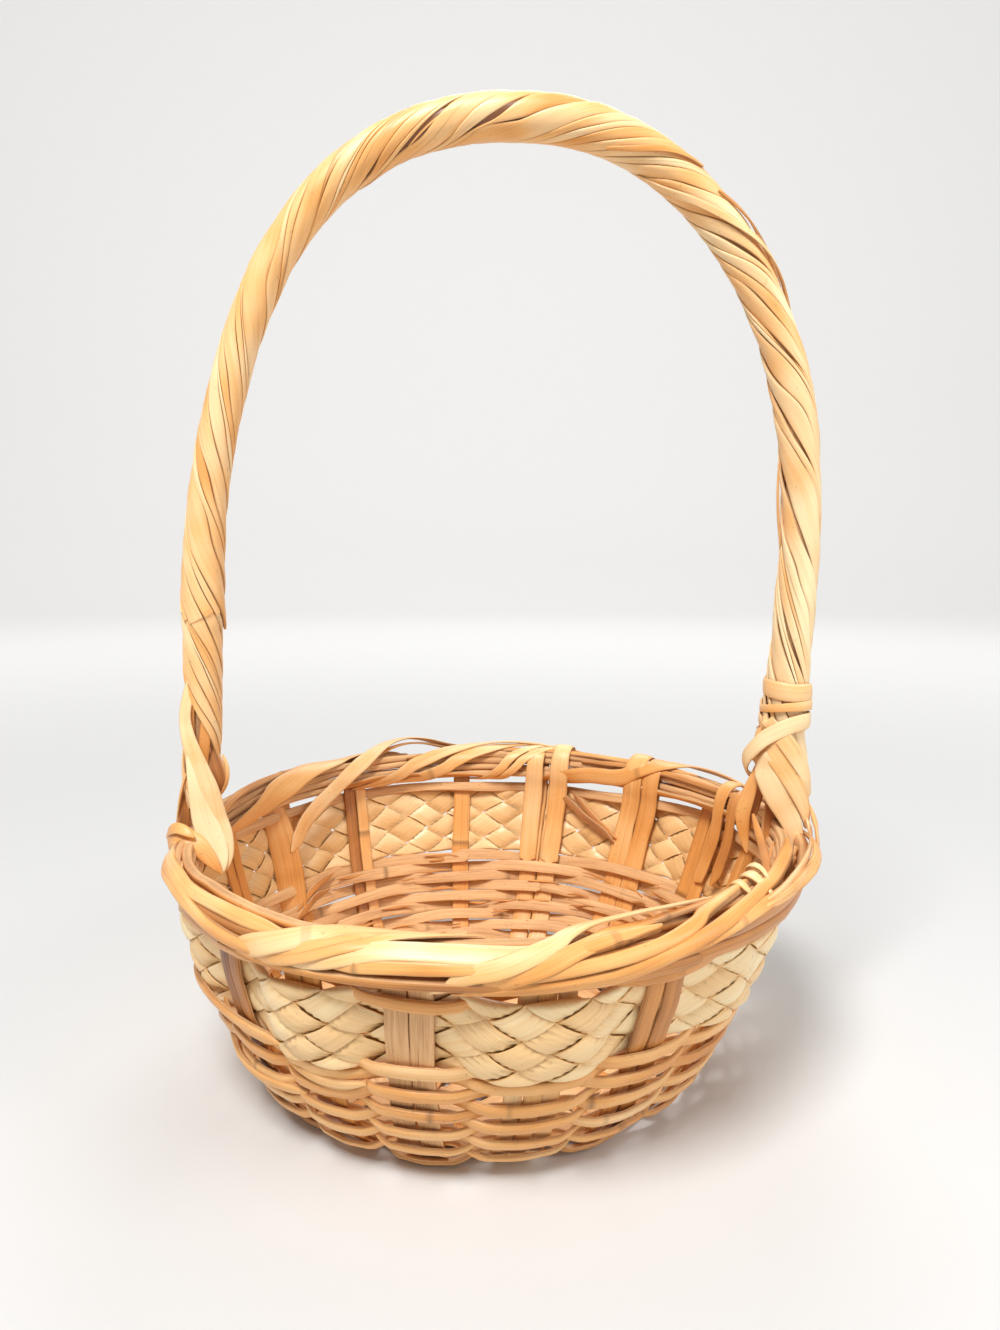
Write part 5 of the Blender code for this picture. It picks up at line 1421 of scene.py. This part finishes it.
def layPlait():
    look = plaitLook
    place, around = plaitPlacer()
    period = around / look["periods"]
    cell = period / look["strands"]
    legs = 2 * look["periods"]
    shares = np.array(look["edgeShares"])
    shares = np.concatenate([shares, np.linspace(*look["middleShares"]), 1 - shares[:0:-1]])
    fold = (np.arange(legs)[:, None] + shares).ravel()      # one for each crossing of the band
    across = np.linspace(-1.0, 1.0, look["across"])
    count, wide = len(fold), 2 * look["across"]
    verts, runs, acrosses, seeds, tones, knots = [], [], [], [], [], []
    chance = np.random.RandomState(5)
    leg = np.floor(fold)
    share = fold - leg
    rising = leg % 2 == 0
    t = np.where(rising, share, 1 - share)      # from the lower edge to the upper one
    for strand in range(look["strands"]):
        pick = chance.uniform(-1, 1, (3, legs))[:, leg.astype(int)]
        middleShare = np.sin(math.pi * share)
        half = look["wide"] + look["widths"] * (pick[0] * middleShare)
        drifted = look["restless"] * pick[1] * middleShare
        x = (strand + fold / 2 * look["strands"])[:, None] * cell + drifted[:, None] \
            + across[None, :] * half[:, None] * cell
        # over one, under one: own line and the line it crosses decide which is on top
        slant = (t * period / 2)[:, None]
        own = np.where(rising, strand + leg / 2 * look["strands"],
                       strand + (leg + 1) / 2 * look["strands"])[:, None]
        other = np.where(rising[:, None], x + slant, x - slant) / cell
        wave = np.cos(math.pi * (other + own)) * np.where(rising, 1.0, -1.0)[:, None]
        level = look["depth"] * np.tanh(look["sharp"] * wave) / math.tanh(look["sharp"])
        level += look["puff"] * np.sign(level) * (1 - across[None, :] ** 2)
        near = np.minimum(share, 1 - share) * look["high"]
        turn = np.clip(near / look["bend"], 0.0, 1.0)[:, None]
        level = level * np.sqrt(1 - (1 - turn) ** 2)
        y = ((t - 0.5) * look["high"])[:, None] + 0 * x
        centre = place(x + look["start"] * cell, y, level)
        du = np.roll(centre, -1, 0) - np.roll(centre, 1, 0)
        normal = unit(np.cross(du, np.gradient(centre, axis=1)))
        skin = centre + normal * look["thick"] / 2
        back = centre - normal * look["thick"] / 2
        verts.append(np.concatenate([skin, back[:, ::-1]], 1).reshape(-1, 3))
        acrosses.append(np.tile(np.concatenate([across, across[::-1]])
                                * look["grainWide"] * mm, count))
        runs.append(np.repeat(fold * look["high"] * look["grainLong"], wide))
        seeds.append(np.repeat(3.0 + strand * 20 + leg, wide))
        # painted shade: a strand's tone drops where it dips under the strand it crosses
        low = (1 - np.clip(level / look["depth"], 0.0, 1.0)) ** look["dipShadePower"]
        tone = (look["tone"] + look["toneChance"] * pick[2])[:, None] - look["hollow"] * low
        # painted light: the back of the band is made paler where it lies in shade
        tone += look["backPaintedLight"] * np.clip(centre[:, :, 1] / look["backReach"], 0.0, 1.0)
        tones.append(np.concatenate([tone, tone[:, ::-1]], 1).ravel())
    i, k = np.meshgrid(np.arange(count), np.arange(wide), indexing="ij")
    after, beside = (i + 1) % count, (k + 1) % wide
    quads = np.stack([i * wide + k, i * wide + beside, after * wide + beside,
                      after * wide + k], -1)
    quads = np.concatenate([quads.reshape(-1, 4) + strand * count * wide
                            for strand in range(look["strands"])])
    mesh = bpy.data.meshes.new("plait")
    mesh.from_pydata(np.vstack(verts).tolist(), [], quads.tolist())
    # a strand's edges count as half skin, so that the finish paints shade there, where the strands
    # meet
    face = np.tile(np.where(np.arange(wide) % (look["across"] - 1) == 0, 0.6, 1.0),
                   count * look["strands"])
    for key, values in (("across", np.concatenate(acrosses)), ("run", np.concatenate(runs)),
                        ("seed", np.concatenate(seeds)), ("tone", np.concatenate(tones)),
                        ("face", face), ("knot", face * 0.0)):
        mesh.attributes.new(key, "FLOAT", "POINT").data.foreach_set("value", values)
    mesh.shade_smooth()
    mesh.set_sharp_from_angle(angle=math.radians(50))
    mesh.materials.append(finishes["palm leaf"])
    mesh.update()
    finishPiece("plait", mesh, ["plait_band"])


# The floor: eight sticks, four over four, and five weavers round them
floorLook = {
    "stickWide": 4.8 * mm, "stickThick": 1.4 * mm, "stickPitch": 5.8 * mm, "fan": 12.5 * mm,
    "end": 72.2 * mm, "knee": 56.0 * mm, "level": 27.0 * mm, "beside": 7.0 * mm,
    "over": 1.7 * mm, "step": 3 * mm, "stickTone": 0.34,
    # the stakes that each stick runs to
    "leftRight": ((1, 6), (0, 7), (15, 8), (14, 9)),
    "frontBack": ((2, 13), (3, 12), (4, 11), (5, 10)),
    "weaverWide": 7.2 * mm, "weaverThick": 1.4 * mm, "radii": (33.0, 42.0, 51.0, 60.0, 69.0),
    "weaverTone": 0.40, "weaverOut": 1.75 * mm, "weaverStep": 1.3, "wander": (0.3 * mm, 60 * mm),
    # half of what a ring needs to pass a stick, and to pass a stick and its stake
    "pass": 3.4 * mm, "passBoth": 5.2 * mm, "besideShare": 0.75, "kneeRoom": 3 * mm,
}


# The middle lines of the sticks, and for each half its start, its knee and its stake's angle
def stickLines():
    look = floorLook
    lines, crossings = [], []
    for group, pairs in enumerate((look["leftRight"], look["frontBack"])):
        for k, pair in enumerate(pairs):
            aside = (k - 1.5) * look["stickPitch"]
            route = []
            for sign, stake in zip((-1, 1), pair):
                angle = math.radians(stakes[stake][0])
                ends = [np.array([r * math.cos(angle) - look["beside"] * math.sin(angle),
                                  r * math.sin(angle) + look["beside"] * math.cos(angle)])
                        for r in (look["end"], look["knee"])]
                start = np.array([sign * look["fan"], aside] if group == 0 else
                                 [aside, sign * look["fan"]])
                crossings.append((start, ends[1], angle))
                share = (look["level"] - np.linalg.norm(start)) / (
                    np.linalg.norm(ends[1]) - np.linalg.norm(start))
                middle = start + (ends[1] - start) * share
                half = [(*ends[0], 0.0), (*ends[1], 0.0), (*middle, 0.0),
                        (*start, look["over"] * group)]
                route += half if sign < 0 else half[::-1]
            route = np.array(route)
            fine = [route[0]]
            for a, b in zip(route, route[1:]):
                steps = max(2, int(np.linalg.norm(b - a) / look["step"]))
                fine += [a + (b - a) * s / steps for s in range(1, steps + 1)]
            fine = np.array(fine)
            for _ in range(2):      # rounds off the knees
                fine[1:-1] = (fine[:-2] + 2 * fine[1:-1] + fine[2:]) / 4
            lines.append(lean(fine[:, 0], fine[:, 1], bowl["floorHeight"] + fine[:, 2]))
    return lines, crossings


# Where a ring round the floor passes the sticks: the angles, and half the room at each
def ringSpots(radius, crossings):
    look = floorLook
    spots = []
    for start, knee, stakeAngle in crossings:
        if radius > look["knee"] - look["kneeRoom"]:
            angle = stakeAngle + look["beside"] / radius * look["besideShare"]
            spots.append((angle, look["passBoth"]))
        else:
            low, high = 0.0, 1.0
            for _ in range(24):     # halves the way until the spot lies on the ring
                at = (low + high) / 2
                if np.linalg.norm(start + (knee - start) * at) < radius:
                    low = at
                else:
                    high = at
            spot = start + (knee - start) * low
            spots.append((math.atan2(spot[1], spot[0]), look["pass"]))
    return sorted(((angle + math.tau) % math.tau, half) for angle, half in spots)


def layFloor():
    look = floorLook
    lines, crossings = stickLines()
    sticks = [splint(points, np.tile((0.0, 0.0, 1.0), (len(points), 1)), look["stickWide"],
                     look["stickThick"], look["stickTone"], 600 + k)
              for k, points in enumerate(lines)]
    layPiece("baseSticks", sticks, finishes["rough cane"], {"Points Round": 16},
             [f"base_stick_{k}" for k in range(1, 9)])
    rings = []
    for k, radius in enumerate(look["radii"]):
        spots = ringSpots(radius * mm, crossings)
        angles, outs = [], []
        first = 1 if k % 2 else -1
        for j, (angle, half) in enumerate(spots + [(spots[0][0] + math.tau, spots[0][1])]):
            side = first * (1 if j % 2 == 0 else -1)
            for step in (-1, 1):
                angles.append(angle + step * half / (radius * mm))
                outs.append(side * look["weaverOut"])
        angles, outs = np.array(angles[1:-1]), np.array(outs[1:-1])
        fine = np.arange(angles[0], angles[-1], look["weaverStep"] / radius)
        i = np.clip(np.searchsorted(angles, fine, side="right") - 1, 0, len(angles) - 2)
        fineOuts = outs[i] + (outs[i + 1] - outs[i]) * smooth(
            (fine - angles[i]) / (angles[i + 1] - angles[i]))
        radial = radius * mm + drift(fine * radius * mm, *look["wander"], 620 + k)
        points = lean(radial * np.cos(fine), radial * np.sin(fine),
                      bowl["floorHeight"] - fineOuts)
        rings.append(splint(points, np.tile((0.0, 0.0, -1.0), (len(points), 1)),
                            look["weaverWide"], look["weaverThick"], look["weaverTone"], 620 + k))
    layPiece("baseWeavers", rings, finishes["tan cane"],
             {"Points Round": 16, "Back Grain": 0.3 * mm},
             [f"base_weaver_{k}" for k in range(1, 6)])


# Floor, backdrop, lights and camera
sceneLook = {
    "camera": (3.9 * mm, -397 * mm, 231.5 * mm), "pitch": 9.5, "sensor": 36.0,
    "focalShare": 1000 / 1330,      # focal length over picture height, in its pixels
    "floorColour": (0.66, 0.66, 0.655), "reach": 3.0, "backdrop": 1.6, "cove": 0.5,
    # place, aim, size, power
    "lamps": (((-0.30, -0.80, 1.45), (0, 0, 0.12), 0.55, 26.0),
              ((1.1, -0.5, 0.8), (0, 0, 0.15), 0.7, 6.0),
              ((0.1, 1.0, 1.1), (0, 0, 0.2), 0.8, 6.0)),
    # light from the sky, and how bright it is where it is seen itself
    "sky": 0.34, "skySeen": 0.92, "skyColour": (1.0, 0.985, 0.965),
    # glow of the floor as the camera sees it, and between which distances it grows
    "pale": 0.45, "paleFrom": 0.35, "paleTo": 1.5, "paleColour": (1.0, 0.99, 0.975),
}


def lookAt(thing, place, aim):
    thing.location = place
    way = np.array(place) - np.array(aim)
    flat = math.hypot(way[0], way[1])
    thing.rotation_euler = (math.atan2(flat, way[2]), 0.0, math.atan2(way[0], -way[1]))


# Rays that see the background itself; the others only bring light from it
def seenRays(tree):
    path = addNode(tree, "ShaderNodeLightPath")
    seen = calc(tree, "MAXIMUM", out(path, "Is Camera Ray"), out(path, "Is Glossy Ray"))
    return calc(tree, "MAXIMUM", seen, out(path, "Is Transmission Ray"))


def setStage():
    look = sceneLook
    material = bpy.data.materials.new("pale floor")
    material.use_nodes = True
    tree = material.node_tree
    shader = next(node for node in tree.nodes if node.type == "BSDF_PRINCIPLED")
    shader.inputs["Base Color"].default_value = (*look["floorColour"], 1.0)
    shader.inputs["Roughness"].default_value = 0.9
    shader.inputs["Specular IOR Level"].default_value = 0.1
    # The far floor and the backdrop stay pale where the lamps no longer reach
    away = addNode(tree, "ShaderNodeVectorMath", {
        "Vector": out(addNode(tree, "ShaderNodeTexCoord"), "Object")}, operation="LENGTH")
    pale = addNode(tree, "ShaderNodeMapRange", {
        "Value": out(away, "Value"), "From Min": look["paleFrom"], "From Max": look["paleTo"],
        "To Max": look["pale"]}, interpolation_type="SMOOTHSTEP")
    shader.inputs["Emission Color"].default_value = (*look["paleColour"], 1.0)
    tree.links.new(calc(tree, "MULTIPLY", out(pale, "Result"), seenRays(tree)),
                   shader.inputs["Emission Strength"])
    reach, back, cove = look["reach"], look["backdrop"], look["cove"]
    mesh = bpy.data.meshes.new("studio floor")
    rows = [(-reach, 0.0), (back, 0.0)] + [
        (back + cove * math.sin(turn), cove - cove * math.cos(turn))
        for turn in np.linspace(0.15, math.pi / 2, 10)] + [(back + cove, reach)]
    verts = [(x, y, z) for y, z in rows for x in (-reach, reach)]
    faces = [(2 * k, 2 * k + 1, 2 * k + 3, 2 * k + 2) for k in range(len(rows) - 1)]
    mesh.from_pydata(verts, [], faces)
    mesh.shade_smooth()
    mesh.materials.append(material)
    floor = bpy.data.objects.new("studioFloor", mesh)
    bpy.context.scene.collection.objects.link(floor)
    world = bpy.data.worlds.new("soft studio")
    bpy.context.scene.world = world
    world.use_nodes = True
    tree = world.node_tree
    background = next(node for node in tree.nodes if node.type == "BACKGROUND")
    strength = out(addNode(tree, "ShaderNodeMapRange", {
        "Value": seenRays(tree), "To Min": look["sky"], "To Max": look["skySeen"]}))
    background.inputs["Color"].default_value = (*look["skyColour"], 1.0)
    tree.links.new(strength, background.inputs["Strength"])
    for k, (place, aim, size, power) in enumerate(look["lamps"]):
        lamp = bpy.data.lights.new(f"softbox {k + 1}", "AREA")
        lamp.shape, lamp.size, lamp.energy = "DISK", size, power
        thing = bpy.data.objects.new(f"softbox {k + 1}", lamp)
        bpy.context.scene.collection.objects.link(thing)
        lookAt(thing, place, aim)
    camera = bpy.data.cameras.new("camera")
    camera.sensor_width = look["sensor"]
    camera.lens = look["sensor"] * look["focalShare"]
    camera.clip_start = 0.01
    thing = bpy.data.objects.new("camera", camera)
    thing.location = look["camera"]
    thing.rotation_euler = (math.radians(90.0 - look["pitch"]), 0.0, 0.0)
    bpy.context.scene.collection.objects.link(thing)
    bpy.context.scene.camera = thing
    bpy.context.scene.view_settings.view_transform = "Standard"
    print("stage, lamps and camera set")


setStage()
layStakes()
layWeavers()
layRods()
layLashings()
layLoose()
layHandle()
layCore()
layBinding()
layFeet()
layPlait()
layFloor()
